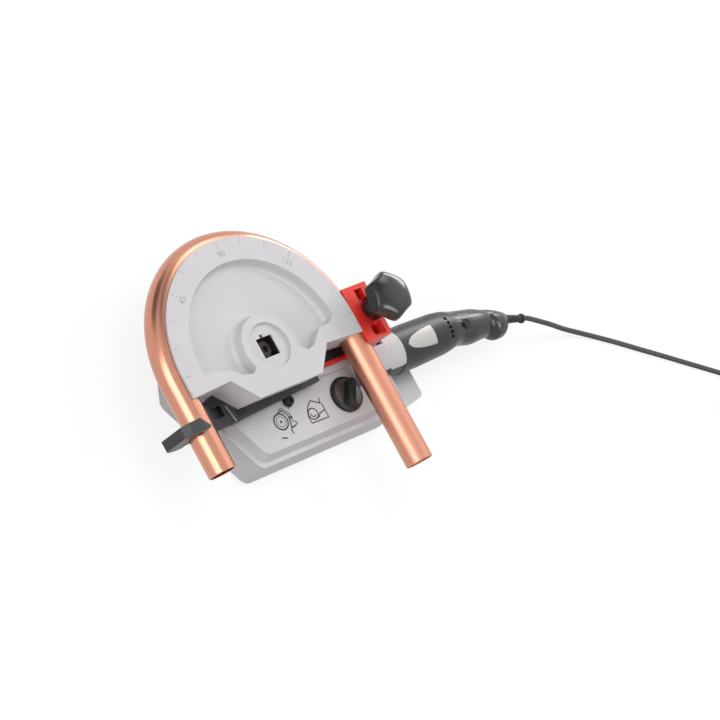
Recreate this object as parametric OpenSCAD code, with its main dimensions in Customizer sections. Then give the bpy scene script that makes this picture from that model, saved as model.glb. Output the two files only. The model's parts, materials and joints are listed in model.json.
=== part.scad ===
// Electric bench pipe bender with a 180 degree bending former and a worm drive.
// Millimetres. Drawn with the drive spindle as the Z axis on the floor, z = 0. The motor lies along +X.

/* [Pipe] */
// Outer diameter of the pipe that the former bends
pipe_od = 35; // [32:0.5:35]
// Wall of the pipe
pipe_wall = 1.5; // [1:0.1:2.5]
// Bending radius, at the middle of the pipe
bend_r = 140; // [139:0.5:142]
// Straight leg of the pipe in the hook
hook_leg = 116; // [100:1:130]
// Straight leg of the pipe in the slide carriage
free_leg = 198; // [150:1:260]

/* [Bending former] */
// Height of the former
former_h = 42; // [42:0.5:44]
// Rim beyond the middle of the pipe
rim_lip = 2; // [1:0.1:3]
// Gap between the pipe and its groove
groove_gap = 0.3; // [0.25:0.05:0.4]
// Straight lead of the groove past the bend
lead_len = 26; // [22:1:30]
// Flat front of the hub block, from the axis
hub_front = 55; // [52:0.5:58]
// Draft of the hub block's front, over the former's height
hub_draft = 5; // [3:0.5:6]
// Half width of the hub block at its front
hub_half = 52; // [46:1:56]
// Slant of the hub block's sides, in width
hub_slant = 29; // [24:1:34]
// Width of the flat rim round the pocket
rim_w = 31; // [29:0.5:34]
// Depth of the pocket
pocket_depth = 16; // [12:0.5:20]
// Fillet at the pocket's floor
pocket_fillet = 6; // [4:0.5:8]
// Radius of the boss between the pocket and the hub
boss_r = 40; // [38:0.5:42]
// Radius of the sunk face round the square socket
hub_r = 29; // [27:0.5:31]
// Depth of the sunk face round the square socket
hub_sink = 5; // [4:0.5:7]
// Radius of the round lobes at the pocket's ends
lobe_r = 11; // [9:0.5:13]

/* [Spindle] */
// Width of the square drive
square_w = 25; // [22:0.5:26]
// Gap between the square drive and its socket
square_gap = 0.15; // [0.1:0.05:0.3]
// Diameter of the spindle in its bushes
spindle_d = 30; // [28:0.5:32]
// Wall of a plain bush
bush_wall = 3; // [2.5:0.25:4]
// Radial clearance of turning and sliding fits
run_gap = 0.05; // [0.03:0.01:0.08]
// Radial clearance of seats that stay put
seat_gap = 0.02; // [0.01:0.01:0.04]

/* [Pipe hook] */
// Width of the hook along the pipe
hook_w = 20; // [18:0.5:21]
// Place of the hook along the pipe, in front of the axis
hook_y = 56; // [54:0.5:60]
// Thickness of the hook's arm over the pipe
hook_arm = 7; // [6:0.5:9]
// Thickness of the hook's outer side
hook_side = 20; // [17:0.5:22]
// Gap between the hook and the pipe
hook_gap = 0.6; // [0.5:0.1:1]
// Travel of the hook that frees the pipe
hook_travel = 42; // [38:1:44]

/* [Housing] */
// Height of the rubber feet
foot_h = 5; // [4:0.5:8]
// Diameter of the rubber feet
foot_d = 22; // [18:1:26]
// Wall of the housing
wall = 4; // [3.5:0.25:4.5]
// Height of the skirt up to the ledge, from the housing's underside
skirt_h = 38; // [36:0.5:40]
// Height of the control panel above the ledge
panel_h = 12; // [11.5:0.25:13]
// Height of the deck above the panel
deck_h = 5; // [4:0.25:5.5]
// Thickness of the top over the gear room
top_t = 8; // [7:0.25:8.5]
// Front reach of the skirt, from the axis
skirt_y = 127; // [124:1:132]
// Back reach of the skirt, from the axis
skirt_back = 118; // [116:1:122]
// Left point of the skirt, from the axis
skirt_left = 103; // [100:1:108]
// Right side of the gear room, past the bending radius
room_past = 63; // [63:0.5:68]
// Length of the low flange past the gear room
flange_len = 75; // [67:1:87]
// Length of the hump in front of the motor
hump_len = 54; // [48:1:56]
// Thickness of the low flange under the motor
flange_t = 6; // [5:0.5:7]
// Thickness of the bottom plate
plate_t = 3; // [2.5:0.25:4]
// Gap between the former and the deck
former_gap = 13; // [12.5:0.25:15]

/* [Drive] */
// Tooth module of all gears
gear_m = 2.5; // [2.4:0.05:2.5]
// Teeth of the output gear
out_teeth = 54; // [54:18:54]
// Teeth of the pinion
pinion_teeth = 18; // [18:18:18]
// Teeth of the worm wheel
wheel_teeth = 24; // [24:24:24]
// Pitch diameter of the worm
worm_pd = 15; // [14.5:0.25:15.5]
// Width of the output gear
out_gear_w = 12; // [10:0.5:12]
// Width of the worm wheel
wheel_w = 9; // [8:0.5:9]
// Length of the worm
worm_len = 38; // [34:1:42]
// Distance of the motor's axis in front of the spindle
motor_off = 52; // [51:0.5:53]
// Height of the motor's axis above the housing's underside
motor_up = 36; // [36:0.25:36.5]
// Diameter of the worm shaft
shaft_d = 8; // [7:0.25:8]
// Diameter of the pinion shaft's journals
idler_d = 14; // [12:0.5:15]
// Outer diameter of the worm shaft's bearings
bearing_d = 22; // [20:0.5:23]
// Width of the bearings
bearing_w = 7; // [6:0.5:8]

/* [Motor and handle] */
// Diameter of the motor's nose
nose_d = 56; // [54:0.5:57]
// Length of the motor's nose
nose_len = 28; // [26:0.5:30]
// Largest diameter of the motor housing
motor_d = 58.4; // [58:0.2:60]
// Length of the motor housing with its nose
motor_len = 135; // [132:1:140]
// Wall of the motor housing
motor_wall = 2.8; // [2.5:0.1:3.2]
// Diameter of the armature
armature_d = 33; // [30:0.5:34]
// Length of the armature and the stator
stack_len = 48; // [44:1:50]
// Wall of the saddle cap over the nose
cap_wall = 3; // [2.5:0.25:4]
// Travel of the trigger
trigger_travel = 4; // [3:0.5:4.5]

/* [Slide carriage] */
// Width of the carriage along the pipe
carriage_w = 72; // [68:1:74]
// Distance of the carriage's middle in front of the axis
carriage_off = 5; // [4:0.5:6]
// Depth of the upright block, away from the pipe's middle
block_d = 44.5; // [43:0.5:45]
// Reach of the front cheek under the former
plate_reach = 33; // [30:1:34]
// Thickness of the guide rail
rail_t = 5.5; // [5:0.25:5.5]
// Side play of the carriage on its rail
rail_gap = 0.3; // [0.2:0.05:0.5]
// Travel of the carriage that frees the pipe
carriage_travel = 17; // [16:0.5:17]
// Diameter of the clamp screw
screw_d = 10; // [8:0.5:11]
// Distance of the clamp screw behind the pipe's middle
screw_back = 30; // [29:0.5:31]

/* [Knobs] */
// Diameter of the star knob over its lobes
star_d = 64; // [58:1:68]
// Height of the star knob's head
star_head = 22; // [20:0.5:25]
// Length of the star knob's neck
star_neck = 30; // [27:0.5:33]
// Lobes of the star knob
star_lobes = 6; // [5:1:7]
// Diameter of the dial on the panel
dial_d = 45; // [40:0.5:46]
// Height of the dial
dial_h = 17; // [14:0.5:17]
// Distance of the dial inside the bending radius
dial_in = 19; // [16:0.5:22]
// Distance of the dial in front of the axis
dial_off = 81; // [80:0.5:84]

/* [Cord] */
// Diameter of the mains cord
cord_d = 7; // [6.5:0.1:7]
// Turns of the put-away coil, in two layers
coil_turns = 7.25; // [6.25:1:7.25]
// Mean radius of the coil
coil_r = 42; // [42:0.5:44]
// Distance between neighbouring turns
coil_pitch = 7.5; // [7.5:0.05:7.6]
// Straight tail between the coil and the plug
tail_len = 48; // [44:1:60]

/* [Hidden] */
$fn = 96;

cast_grey = [0.83, 0.82, 0.83];
dark_grey = [0.29, 0.28, 0.30];
black = [0.09, 0.09, 0.10];
steel = [0.70, 0.71, 0.73];
bronze = [0.72, 0.55, 0.30];
copper = [0.82, 0.53, 0.43];
red = [0.84, 0.17, 0.15];

// Levels
eps = 0.01;
far = 200;
ledge_in = 4;
panel_in = 15;
boss_h = skirt_h - wall - plate_t + 1;
under_z = foot_h;
ledge_z = under_z + skirt_h;
panel_z = ledge_z + panel_h;
deck_z = panel_z + deck_h;
room_z = deck_z - top_t;
plate_z = under_z + plate_t;
axis_z = under_z + motor_up;
former_z = deck_z + former_gap;
former_top = former_z + former_h;
pipe_z = former_z + former_h / 2;
rail_z = deck_z + rail_t;
carriage_z = rail_z + 0.2;

// Housing
room_right = bend_r + room_past;
flange_right = room_right + flange_len;
dial_x = bend_r - dial_in;
dial_bar = 12;
dial_turn = 55;
foot_x = room_right + 32;
feet_at = [[-30, 27 - skirt_y], [-30, skirt_back - 24], [foot_x, 31 - skirt_y], [foot_x, 28]];
plate_screw_at = [[35 - skirt_left, -42], [35 - skirt_left, 42], [60, 17 - skirt_y], [60, skirt_back - 17],
  [room_right - 23, 19 - skirt_y], [room_right - 55, skirt_back - 32]];
screw_head = 2;
screw_in = 11;

// Former
rim_r = bend_r + rim_lip;
groove_r = pipe_od / 2 + groove_gap;
pocket_r = rim_r - rim_w;
hub_top = former_top - hub_sink;
bolt_z = hub_top - 15;

// Drive
motor_y = -motor_off;
tooth_add = 0.8 * gear_m;
tooth_ded = 1.1 * gear_m;
backlash = 0.22 * gear_m;
out_r = gear_m * out_teeth / 2;
pinion_r = gear_m * pinion_teeth / 2;
wheel_r = gear_m * wheel_teeth / 2;
idler_y = motor_y + wheel_r + worm_pd / 2;
idler_x = sqrt(pow(out_r + pinion_r, 2) - idler_y * idler_y);
idler_dir = atan2(idler_y, idler_x);
worm_pitch = PI * gear_m;
worm_tip = worm_pd / 2 + tooth_add;
out_gear_z = plate_z + 5;
boss_gap = 0.5;
out_boss_z = out_gear_z - boss_gap;
pinion_z = out_gear_z - 1;
pinion_w = out_gear_w + 2;
idler_boss_z = pinion_z - boss_gap;
wheel_z = axis_z - wheel_w / 2;
spindle_boss_z = room_z - 14;
idler_roof_z = wheel_z + wheel_w + 0.6;
bush_r = spindle_d / 2 + bush_wall;
idler_bush_r = idler_d / 2 + bush_wall;
boss_wall = 5;
web_gap = 8;
web_w = 10;
web_x = [idler_x - worm_len / 2 - web_gap - web_w, idler_x + worm_len / 2 + web_gap + 6];
nose_x = room_right;
motor_end = nose_x + motor_len;
rear_x = motor_end - 15;
comm_len = 14;
comm_x = rear_x - 1 - comm_len;
stack_x = comm_x - 2 - stack_len;
fan_w = 10;
fan_x = stack_x - 2 - fan_w;
stator_seat = nose_d / 2 - motor_wall;
journal_r = shaft_d / 2 - 0.5;
cap_screw_at = [8, nose_len - 9];

// Hook head
hook_in = -bend_r - pipe_od / 2 - hook_gap;
hook_out = hook_in - hook_side;

// Carriage
slide_gap = 0.5;
block_x = rim_r + slide_gap;
block_end = bend_r + block_d;
carriage_y = -carriage_off;
rail_w = carriage_w - 10;
screw_x = bend_r + screw_back;
nut_w = 16;
nut_t = 4.4;
slot_play = 0.5;
star_z = former_top + 2.3;

// Handle stations past the motor housing: along the axis, sideways, radius
handle_stations = [[0, 0, 25], [12, -1.5, 23], [30, -5.5, 23.4], [48, -7.2, 21.7], [60, -9, 19.5],
  [66, -9.5, 18], [70, -12.5, 19.5], [75, -15.4, 20.8], [86, -17.6, 18.9], [94, -17.4, 15.2],
  [100, -16.2, 11.5], [103, -15.6, 9]];
handle_len = handle_stations[len(handle_stations) - 1][0];
handle_sides = 32;
switch_x = motor_end + 12;
switch_l = 46;
switch_w = 17;
switch_y = motor_y - 5;
lever_x = motor_end + 17;
lever_y = motor_y - 6;

// Strain relief and cord, on the floor from where it comes down
relief_dir = -15;
relief_len = 34;
lead_in = 3.5;
relief_x = motor_end + handle_len;
relief_y = motor_y + handle_stations[len(handle_stations) - 1][1];
relief_end = [relief_x + relief_len * cos(relief_dir), relief_y + relief_len * sin(relief_dir), axis_z];
floor_z = cord_d / 2 + 0.05;
cord_run = [[63, -88, 36.5], [89, -97, 27.5], [119, -107, 15], [151, -119, 6.5], [184, -136, floor_z],
  [214, -154, floor_z], [244, -173, floor_z], [273, -191, floor_z], [303, -210, floor_z],
  [333, -229, floor_z], [363, -248, floor_z], [384, -261.5, floor_z], [405, -275, floor_z]];
cord_points = [for (p = cord_run) p + [relief_x, 0, 0]];
cord_last = cord_points[len(cord_points) - 1];
cord_before = cord_points[len(cord_points) - 2];
cord_heading = unit(cord_last - cord_before);
coil_in = coil_r - coil_pitch * coil_turns / 4;
coil_start = atan2(cord_heading[0], -cord_heading[1]);
coil_centre = cord_last + cord_d * cord_heading - spoke(coil_start, coil_in + coil_pitch * coil_turns / 2);
plug_len = 52;
plug_w = 36;

function unit(v) = v / norm(v);
function spoke(a, r) = [r * cos(a), r * sin(a), 0];

// Arc that rounds the corner q between p and s
function corner(p, q, s, r, n = 6) =
  let (u = unit(p - q), v = unit(s - q), half = acos(u * v) / 2)
  let (c = q + unit(u + v) * r / sin(half), a = q + u * r / tan(half), b = q + v * r / tan(half))
  let (from = atan2(a[1] - c[1], a[0] - c[0]), to = atan2(b[1] - c[1], b[0] - c[0]))
  let (turn = (to - from + 540) % 360 - 180)
  [for (i = [0:n]) c + r * [cos(from + turn * i / n), sin(from + turn * i / n)]];

// Open run of points with its inner corners rounded by r
function rounded_run(p, r) = [for (i = [1:len(p) - 2]) each corner(p[i - 1], p[i], p[i + 1], r)];

// Polygon with all its corners rounded by r
function rounded(p, r) =
  let (n = len(p))
  [for (i = [0:n - 1]) each corner(p[(i + n - 1) % n], p[i], p[(i + 1) % n], r)];

// Outline of the main housing, drawn in by a distance; its back right corner is cut off
function skirt_outline(inset) =
  let (y = skirt_y - inset, back = skirt_back - inset, left = skirt_left - 1.1 * inset)
  let (front_left = 45 - 0.75 * inset, cut_x = room_right - 63 - 0.43 * inset, cut_y = 52 - 1.45 * inset)
  rounded([[-left, 0], [-front_left, -y], [room_right, -y], [room_right, cut_y], [cut_x, back],
    [-front_left, back]], 14);

// Closed solid over rings of equal point counts
module skin(rings) {
  n = len(rings[0]);
  m = len(rings);
  points = [for (r = rings) each r];
  sides = [for (i = [0:m - 2], j = [0:n - 1])
    let (a = i * n + j, b = i * n + (j + 1) % n)
    each [[a, b + n, b], [a, a + n, b + n]]];
  first = [for (j = [1:n - 2]) [0, j, j + 1]];
  last = [for (j = [1:n - 2]) [(m - 1) * n, (m - 1) * n + j + 1, (m - 1) * n + j]];
  polyhedron(points, concat(sides, first, last));
}

// Ring of a tube at point p with direction t
function tube_ring(p, t, r, n) =
  let (side = unit(cross([0, 0, 1], t)), up = cross(t, side))
  [for (k = [0:n - 1]) p + r * (cos(k * 360 / n) * side + sin(k * 360 / n) * up)];

function tangent(p, i) = unit(p[min(i + 1, len(p) - 1)] - p[max(i - 1, 0)]);

module tube(p, r, n) {
  skin([for (i = [0:len(p) - 1]) tube_ring(p[i], tangent(p, i), r, n)]);
}

// Smooth curve through points, with a few steps in each span
function curve_point(p, i, u) =
  let (a = p[max(i - 1, 0)], b = p[i], c = p[i + 1], d = p[min(i + 2, len(p) - 1)])
  0.5 * (2 * b + (c - a) * u + (2 * a - 5 * b + 4 * c - d) * u * u + (3 * b - a - 3 * c + d) * u * u * u);

function curve(p, steps) = concat(
  [for (i = [0:len(p) - 2], k = [0:steps - 1]) curve_point(p, i, k / steps)], [p[len(p) - 1]]);

function path_length(p, i = 1) = i == len(p) ? 0 : norm(p[i] - p[i - 1]) + path_length(p, i + 1);

// Involute gear outline with one tooth's middle at angle 0
function involute_turn(r, base) = r <= base ? 0 : sqrt(pow(r / base, 2) - 1) * 180 / PI - acos(base / r);
function gear_outline(teeth, first) =
  let (pitch = gear_m * teeth / 2, base = pitch * cos(20), root = pitch - tooth_ded, tip = pitch + tooth_add)
  let (half = 90 / teeth - backlash / pitch * 90 / PI + involute_turn(pitch, base))
  let (low = max(root, base), flank = [for (k = [0:3]) low + (tip - low) * k / 3])
  [for (t = [0:teeth - 1])
    let (mid = first + 360 * t / teeth)
    each concat([on_circle(root, mid - half)],
      [for (r = flank) on_circle(r, mid - half + involute_turn(r, base))],
      [for (k = [3:-1:0]) on_circle(flank[k], mid + half - involute_turn(flank[k], base))],
      [on_circle(root, mid + half)])];
function on_circle(r, a) = [r * cos(a), r * sin(a)];

// Radius of the worm at an angle and a place along it
worm_root = worm_pd / 2 - tooth_ded + 0.3;
function worm_wave(phase) =
  let (d = abs((phase % 1 + 1.5) % 1 - 0.5))
  min(max((0.23 - d) / 0.16, 0), 1);
function worm_radius(a, x) = worm_root + (worm_tip - worm_root) * worm_wave(x / worm_pitch - a / 360);

module at_motor(x) {
  translate([x, motor_y, axis_z]) rotate([0, 90, 0]) children();
}

module ring(r_out, r_in, h) {
  difference() {
    cylinder(r = r_out, h = h);
    translate([0, 0, -1]) cylinder(r = r_in, h = h + 2);
  }
}

module at_idler(z) {
  translate([idler_x, idler_y, z]) children();
}

// The origin is on the floor under the middle of the object without its cord
middle = [(hook_out + relief_x) / 2, (bend_r + pipe_od / 2 - free_leg) / 2, 0];
module placed() {
  translate(-middle) children();
}

// Housing
module housing_outside() {
  hull() {
    translate([0, 0, under_z]) linear_extrude(eps) polygon(skirt_outline(0));
    translate([0, 0, ledge_z - eps]) linear_extrude(eps) polygon(skirt_outline(ledge_in));
  }
  hull() {
    translate([0, 0, ledge_z - 2]) linear_extrude(eps) polygon(skirt_outline(8));
    translate([0, 0, panel_z - eps]) linear_extrude(eps) polygon(skirt_outline(panel_in));
  }
  translate([0, 0, panel_z - 2]) linear_extrude(deck_z - panel_z + 2) polygon(deck_outline());
  translate([0, 0, under_z]) linear_extrude(flange_t) polygon(flange_outline());
}

function deck_outline() = rounded([[-58, -20], [-44, -49], [room_right, -49], [room_right, 30],
  [room_right - 75, 84], [-22, 84], [-58, 20]], 6);
function flange_outline() = rounded([[room_right - 53, -skirt_y + 6], [room_right + 8, -skirt_y + 3],
  [flange_right, -skirt_y + 14], [flange_right, 44], [room_right - 53, 44]], 8);

module gear_room() {
  translate([0, 0, under_z - 1]) linear_extrude(ledge_z - wall - under_z + 1) room_outline(ledge_in + wall);
  translate([0, 0, under_z]) linear_extrude(room_z - under_z) room_outline(panel_in + wall);
}

// Skirt outline that stops short of the wall behind the motor
module room_outline(inset) {
  intersection() {
    polygon(skirt_outline(inset));
    translate([-far, -far]) square([far + room_right - wall, 2 * far]);
  }
}

module plate_outline(inset) {
  intersection() {
    polygon(skirt_outline(inset));
    translate([-far, -far]) square([far + room_right + 2.5 - inset, 2 * far]);
  }
}

module bearing_web(x) {
  translate([x, motor_y - bearing_d / 2 - 3, axis_z - bearing_d / 2 - 3])
    cube([web_w, bearing_d + 6, room_z + 1 - (axis_z - bearing_d / 2 - 3)]);
}

// Round hump that carries the motor's line on to the panel, clear of the carriage
module hump() {
  front = carriage_y - carriage_w / 2 - slide_gap;
  intersection() {
    at_motor(room_right - hump_len) cylinder(r = nose_d / 2 + cap_wall, h = hump_len);
    translate([0, front - far, panel_z - 1]) cube([room_right, far, far]);
  }
}

module base_housing() {
  color(cast_grey)
  difference() {
    union() {
      difference() {
        housing_outside();
        gear_room();
      }
      translate([0, 0, spindle_boss_z]) cylinder(r = bush_r + boss_wall, h = room_z + 1 - spindle_boss_z);
      at_idler(idler_roof_z) cylinder(r = idler_bush_r + 3, h = room_z + 1 - idler_roof_z);
      hump();
      for (x = web_x) bearing_web(x);
      for (p = plate_screw_at)
        translate([p[0], p[1], plate_z]) cylinder(r = 6, h = boss_h);
      for (p = feet_at)
        if (p[0] < room_right) translate([p[0], p[1], plate_z]) cylinder(r = 7, h = boss_h);
    }
    translate([0, 0, spindle_boss_z - 1]) cylinder(r = bush_r + seat_gap, h = 40);
    at_idler(idler_roof_z - 1) cylinder(r = idler_bush_r + seat_gap, h = room_z + 3 - idler_roof_z + 1);
    for (x = web_x) at_motor(x - 1) cylinder(r = bearing_d / 2 + run_gap, h = web_w + 2);
    at_motor(room_right - wall - 1) cylinder(r = shaft_d / 2 + 2, h = wall + 2);
    for (p = plate_screw_at) translate([p[0], p[1], under_z]) cylinder(r = 2 + seat_gap, h = plate_t + screw_in + 5);
    for (p = feet_at) translate([p[0], p[1], under_z - 1]) cylinder(r = 3 + seat_gap, h = 5);
    translate([dial_x, -dial_off, room_z - 1]) cylinder(r = 5, h = panel_z);
    translate([screw_x - nut_w / 2 - slot_play, carriage_y - nut_w / 2 - slot_play, deck_z - nut_t - 0.6])
      cube([nut_w + carriage_travel + 2 * slot_play, nut_w + 2 * slot_play, nut_t + 1]);
    translate([0, 0, under_z - 1]) linear_extrude(plate_t + 1) plate_outline(wall + 3);
  }
}

module bottom_plate() {
  color(steel)
  difference() {
    union() {
      translate([0, 0, under_z]) linear_extrude(plate_t) plate_outline(wall + 3.5);
      translate([0, 0, under_z]) cylinder(r = bush_r + boss_wall, h = out_boss_z - under_z);
      at_idler(under_z) cylinder(r = idler_bush_r + 3, h = idler_boss_z - under_z);
    }
    translate([0, 0, under_z - 1]) cylinder(r = bush_r + seat_gap, h = 40);
    at_idler(under_z - 1) cylinder(r = idler_bush_r + seat_gap, h = 40);
    for (p = plate_screw_at) translate([p[0], p[1], under_z - 1]) cylinder(r = 2.3, h = plate_t + 2);
    for (p = feet_at) translate([p[0], p[1], under_z - 1]) cylinder(r = 3 + seat_gap, h = plate_t + 2);
  }
}

module rubber_feet() {
  color(black)
  for (p = feet_at)
    translate([p[0], p[1], 0]) {
      cylinder(d = foot_d, h = foot_h);
      cylinder(r = 3, h = foot_h + plate_t);
    }
}

module plate_screws() {
  color(steel)
  for (p = plate_screw_at)
    translate([p[0], p[1], under_z - screw_head]) {
      cylinder(r = 4, h = screw_head);
      cylinder(r = 2, h = screw_head + plate_t + screw_in);
    }
}

module spindle_bushes() {
  color(bronze) {
    translate([0, 0, spindle_boss_z]) ring(bush_r, spindle_d / 2 + run_gap, deck_z - spindle_boss_z);
    translate([0, 0, under_z]) ring(bush_r, spindle_d / 2 + run_gap, out_boss_z - under_z);
  }
}

module idler_bushes() {
  color(bronze) {
    at_idler(idler_roof_z) ring(idler_bush_r, idler_d / 2 + run_gap, room_z + 2 - idler_roof_z);
    at_idler(under_z) ring(idler_bush_r, idler_d / 2 + run_gap, idler_boss_z - under_z);
  }
}

module worm_bearings() {
  color(steel)
  for (x = web_x)
    at_motor(x + (web_w - bearing_w) / 2) ring(bearing_d / 2, shaft_d / 2 + run_gap, bearing_w);
}

module guide_rail() {
  slot_w = screw_d + 0.8;
  color(black)
  difference() {
    translate([bend_r - plate_reach - 3, carriage_y - rail_w / 2, deck_z])
      cube([room_right - 3 - (bend_r - plate_reach - 3), rail_w, rail_t]);
    translate([screw_x, carriage_y, deck_z - 1]) cylinder(d = slot_w, h = rail_t + 2);
    translate([screw_x + carriage_travel, carriage_y, deck_z - 1]) cylinder(d = slot_w, h = rail_t + 2);
    translate([screw_x, carriage_y - slot_w / 2, deck_z - 1]) cube([carriage_travel, slot_w, rail_t + 2]);
  }
}

// Motor
module motor_housing() {
  r = motor_d / 2;
  back = motor_len;
  vent_w = 4.2;
  color(dark_grey)
  difference() {
    at_motor(nose_x)
      rotate_extrude() polygon([[0, 0], [nose_d / 2, 0], [nose_d / 2, nose_len], [r, nose_len + 2],
        [r, nose_len + 35], [r - 1.4, back - 20], [r - 3, back - 6], [25, back], [0, back]]);
    at_motor(nose_x + 4) cylinder(r = nose_d / 2 - motor_wall, h = motor_len - 18);
    at_motor(nose_x - 1) cylinder(r = shaft_d / 2 + 3, h = 10);
    at_motor(rear_x) cylinder(r = 9.5 + seat_gap, h = 8);
    for (side = [0, 180], a = [-21.5:13.5:32.5])
      translate([motor_end - 17, motor_y, axis_z]) rotate([a + side, 0, 0])
        translate([0, -vent_w / 2, 20]) cube([5, vent_w, 20]);
    badge_seat(0.6);
  }
}

// Leaf-shaped plate lying on the motor, tip towards the nose
module badge_seat(depth) {
  badge_x = nose_x + nose_len + 11.5;
  badge_len = 50;
  badge_half = 12.5;
  badge_turn = 6;
  intersection() {
    at_motor(badge_x) ring(motor_d / 2 + 2, motor_d / 2 - 1.6 - depth, badge_len + 2);
    translate([badge_x, motor_y, axis_z]) rotate([badge_turn, 0, 0]) linear_extrude(60)
      polygon(concat([for (u = [0:0.1:1]) [badge_len * u, -badge_half * sqrt(u * (2 - u))]],
        [for (u = [1:-0.1:0.1]) [badge_len * u, badge_half * sqrt(u * (2 - u))]]));
  }
}

module motor_badge() {
  color([0.84, 0.82, 0.80])
  intersection() {
    badge_seat(0.55);
    at_motor(nose_x) cylinder(r = motor_d / 2 - 0.3, h = motor_len);
  }
}

module stator() {
  color(steel)
  at_motor(stack_x) ring(stator_seat - seat_gap, armature_d / 2 + 0.5, stack_len);
}

module brush_holders() {
  color(bronze)
  for (a = [90, 270])
    translate([comm_x + 6, motor_y, axis_z]) rotate([a, 0, 0])
      translate([-4, -4, 11.4]) cube([8, 8, sqrt(pow(stator_seat, 2) - 16) - 11.4 - 0.1]);
}

module motor_bearing() {
  color(steel)
  at_motor(rear_x) ring(9.5, journal_r + run_gap, 6);
}

// Screws of the saddle cap, on the side away from the operator
module at_cap_screw(x) {
  translate([nose_x + x, motor_y, axis_z]) rotate([-58, 0, 0]) children();
}

module saddle_cap() {
  r = nose_d / 2 + cap_wall;
  cap_front = 48;
  color(cast_grey)
  difference() {
    union() {
      at_motor(nose_x) cylinder(r = r, h = nose_len);
      at_motor(nose_x) cylinder(r = r + 1.2, h = nose_len - 4);
    }
    at_motor(nose_x - 1) cylinder(r = nose_d / 2 + 0.1, h = nose_len + 2);
    translate([nose_x - 1, motor_y, axis_z]) {
      rotate([cap_front, 0, 0]) translate([0, -far, -far]) cube([nose_len + 2, far, 2 * far]);
      translate([0, -far, 4 - far]) cube([nose_len + 2, 2 * far, far]);
    }
    for (x = cap_screw_at) at_cap_screw(x) cylinder(r = 2 + seat_gap, h = 60);
  }
}

module saddle_screws() {
  color(steel)
  for (x = cap_screw_at)
    at_cap_screw(x) translate([0, 0, nose_d / 2 + 0.15]) {
      cylinder(r = 2, h = cap_wall + 2);
      translate([0, 0, cap_wall + 1.2]) cylinder(r = 3.5, h = 2);
    }
}

// Handle: two half shells with a room for the switch
function handle_ring(s, from) =
  [for (k = [0:handle_sides / 2])
    let (a = from + 360 * k / handle_sides)
    [motor_end + s[0], motor_y + s[1] + s[2] * cos(a), axis_z + s[2] * sin(a)]];

module handle_half(from) {
  difference() {
    skin([for (s = curve(handle_stations, 2)) handle_ring(s, from)]);
    translate([switch_x, switch_y - switch_w / 2, axis_z - 9]) cube([switch_l, switch_w, 18]);
    at_motor(motor_end - 1) cylinder(r = 7, h = 16);
    translate([relief_x, relief_y, axis_z]) rotate([0, 90, relief_dir])
      translate([0, 0, -14]) cylinder(r = 5.6, h = 40);
  }
}

module handle_upper() {
  color(dark_grey)
  difference() {
    handle_half(0);
    translate([lever_x, lever_y, axis_z + 16]) cylinder(r = 6.4, h = 20);
    translate([lever_x, lever_y, axis_z]) cylinder(r = 2 + run_gap, h = 40);
  }
}

module handle_lower() {
  color(dark_grey)
  difference() {
    handle_half(180);
    translate([switch_x + 6, switch_y - 5.5, axis_z - 40]) cube([34, 11, 40]);
  }
}

module switch_module() {
  color(black)
  difference() {
    translate([switch_x + 0.3, switch_y - switch_w / 2 + 0.3, axis_z - 4])
      cube([switch_l - 0.6, switch_w - 0.6, 12.7]);
    translate([lever_x, lever_y, axis_z]) cylinder(r = 2.4, h = 20);
  }
}

module switch_trigger() {
  color(black)
  translate([switch_x + 6.4, switch_y - 5, axis_z]) {
    translate([0, 0, -14]) cube([33.2, 10, 14 - 4 - trigger_travel - 0.2]);
    hull() {
      translate([4, 0, -28]) cube([24, 10, 1]);
      translate([0, 0, -16]) cube([33.2, 10, 3]);
    }
  }
}

module direction_lever() {
  color(black)
  translate([lever_x, lever_y, axis_z]) {
    translate([0, 0, 4]) cylinder(r = 2, h = 14);
    translate([0, 0, 16.3]) cylinder(r = 6, h = 6.2);
    translate([0, 0, 20]) linear_extrude(5.5) polygon([[-5, -3], [-5, 3], [5.5, 0]]);
  }
}

module potentiometer() {
  color(steel)
  translate([dial_x, -dial_off, 0]) {
    difference() {
      translate([-10, -10, room_z - 8]) cube([20, 20, 8]);
      translate([0, 0, room_z - 6]) cylinder(r = 3 + run_gap, h = 20);
    }
    translate([0, 0, room_z]) ring(4.8, 3 + run_gap, panel_z - room_z - 0.1);
  }
}

// Strain relief and cord
module strain_relief() {
  color(black)
  translate([relief_x, relief_y, axis_z]) rotate([0, 90, relief_dir])
    rotate_extrude() polygon([[0, -13.5], [5.4, -13.5], [5.4, 2.6], [6.6, 4], [5.2, relief_len - 5],
      [6, relief_len - 4], [6, relief_len - 1], [5, relief_len], [cord_d / 2 + 0.3, relief_len],
      [cord_d / 2 + 0.3, relief_len - lead_in - 0.5], [0, relief_len - lead_in - 0.5]]);
}

function coil_point(t) =
  let (half = coil_turns / 2, climb = min(max(2 * (t - half) + 0.5, 0), 1))
  coil_centre + spoke(coil_start - 360 * t, coil_in + coil_pitch * abs(t - half))
    + [0, 0, coil_pitch * climb * climb * (3 - 2 * climb)];
coil_heading = unit(coil_point(coil_turns) - coil_point(coil_turns - 0.01));
coil_rings = round(24 * coil_turns);
coil_path = concat([cord_last], [for (i = [0:coil_rings]) coil_point(coil_turns * i / coil_rings)],
  [coil_point(coil_turns) + tail_len * coil_heading]);
lead_out = relief_end + spoke(relief_dir, 8);
lead_path = curve(concat([relief_end - spoke(relief_dir, lead_in), lead_out], cord_points), 3);
coil_last = len(coil_path) - 1;
near = [for (i = [0:coil_last], j = [i + 16:1:coil_last]) norm(coil_path[i] - coil_path[j])];
echo(middle = middle);
echo(coil_gap = min(near) - cord_d);
echo(lead_length = path_length(lead_path), coil_length = path_length(coil_path));

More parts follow.
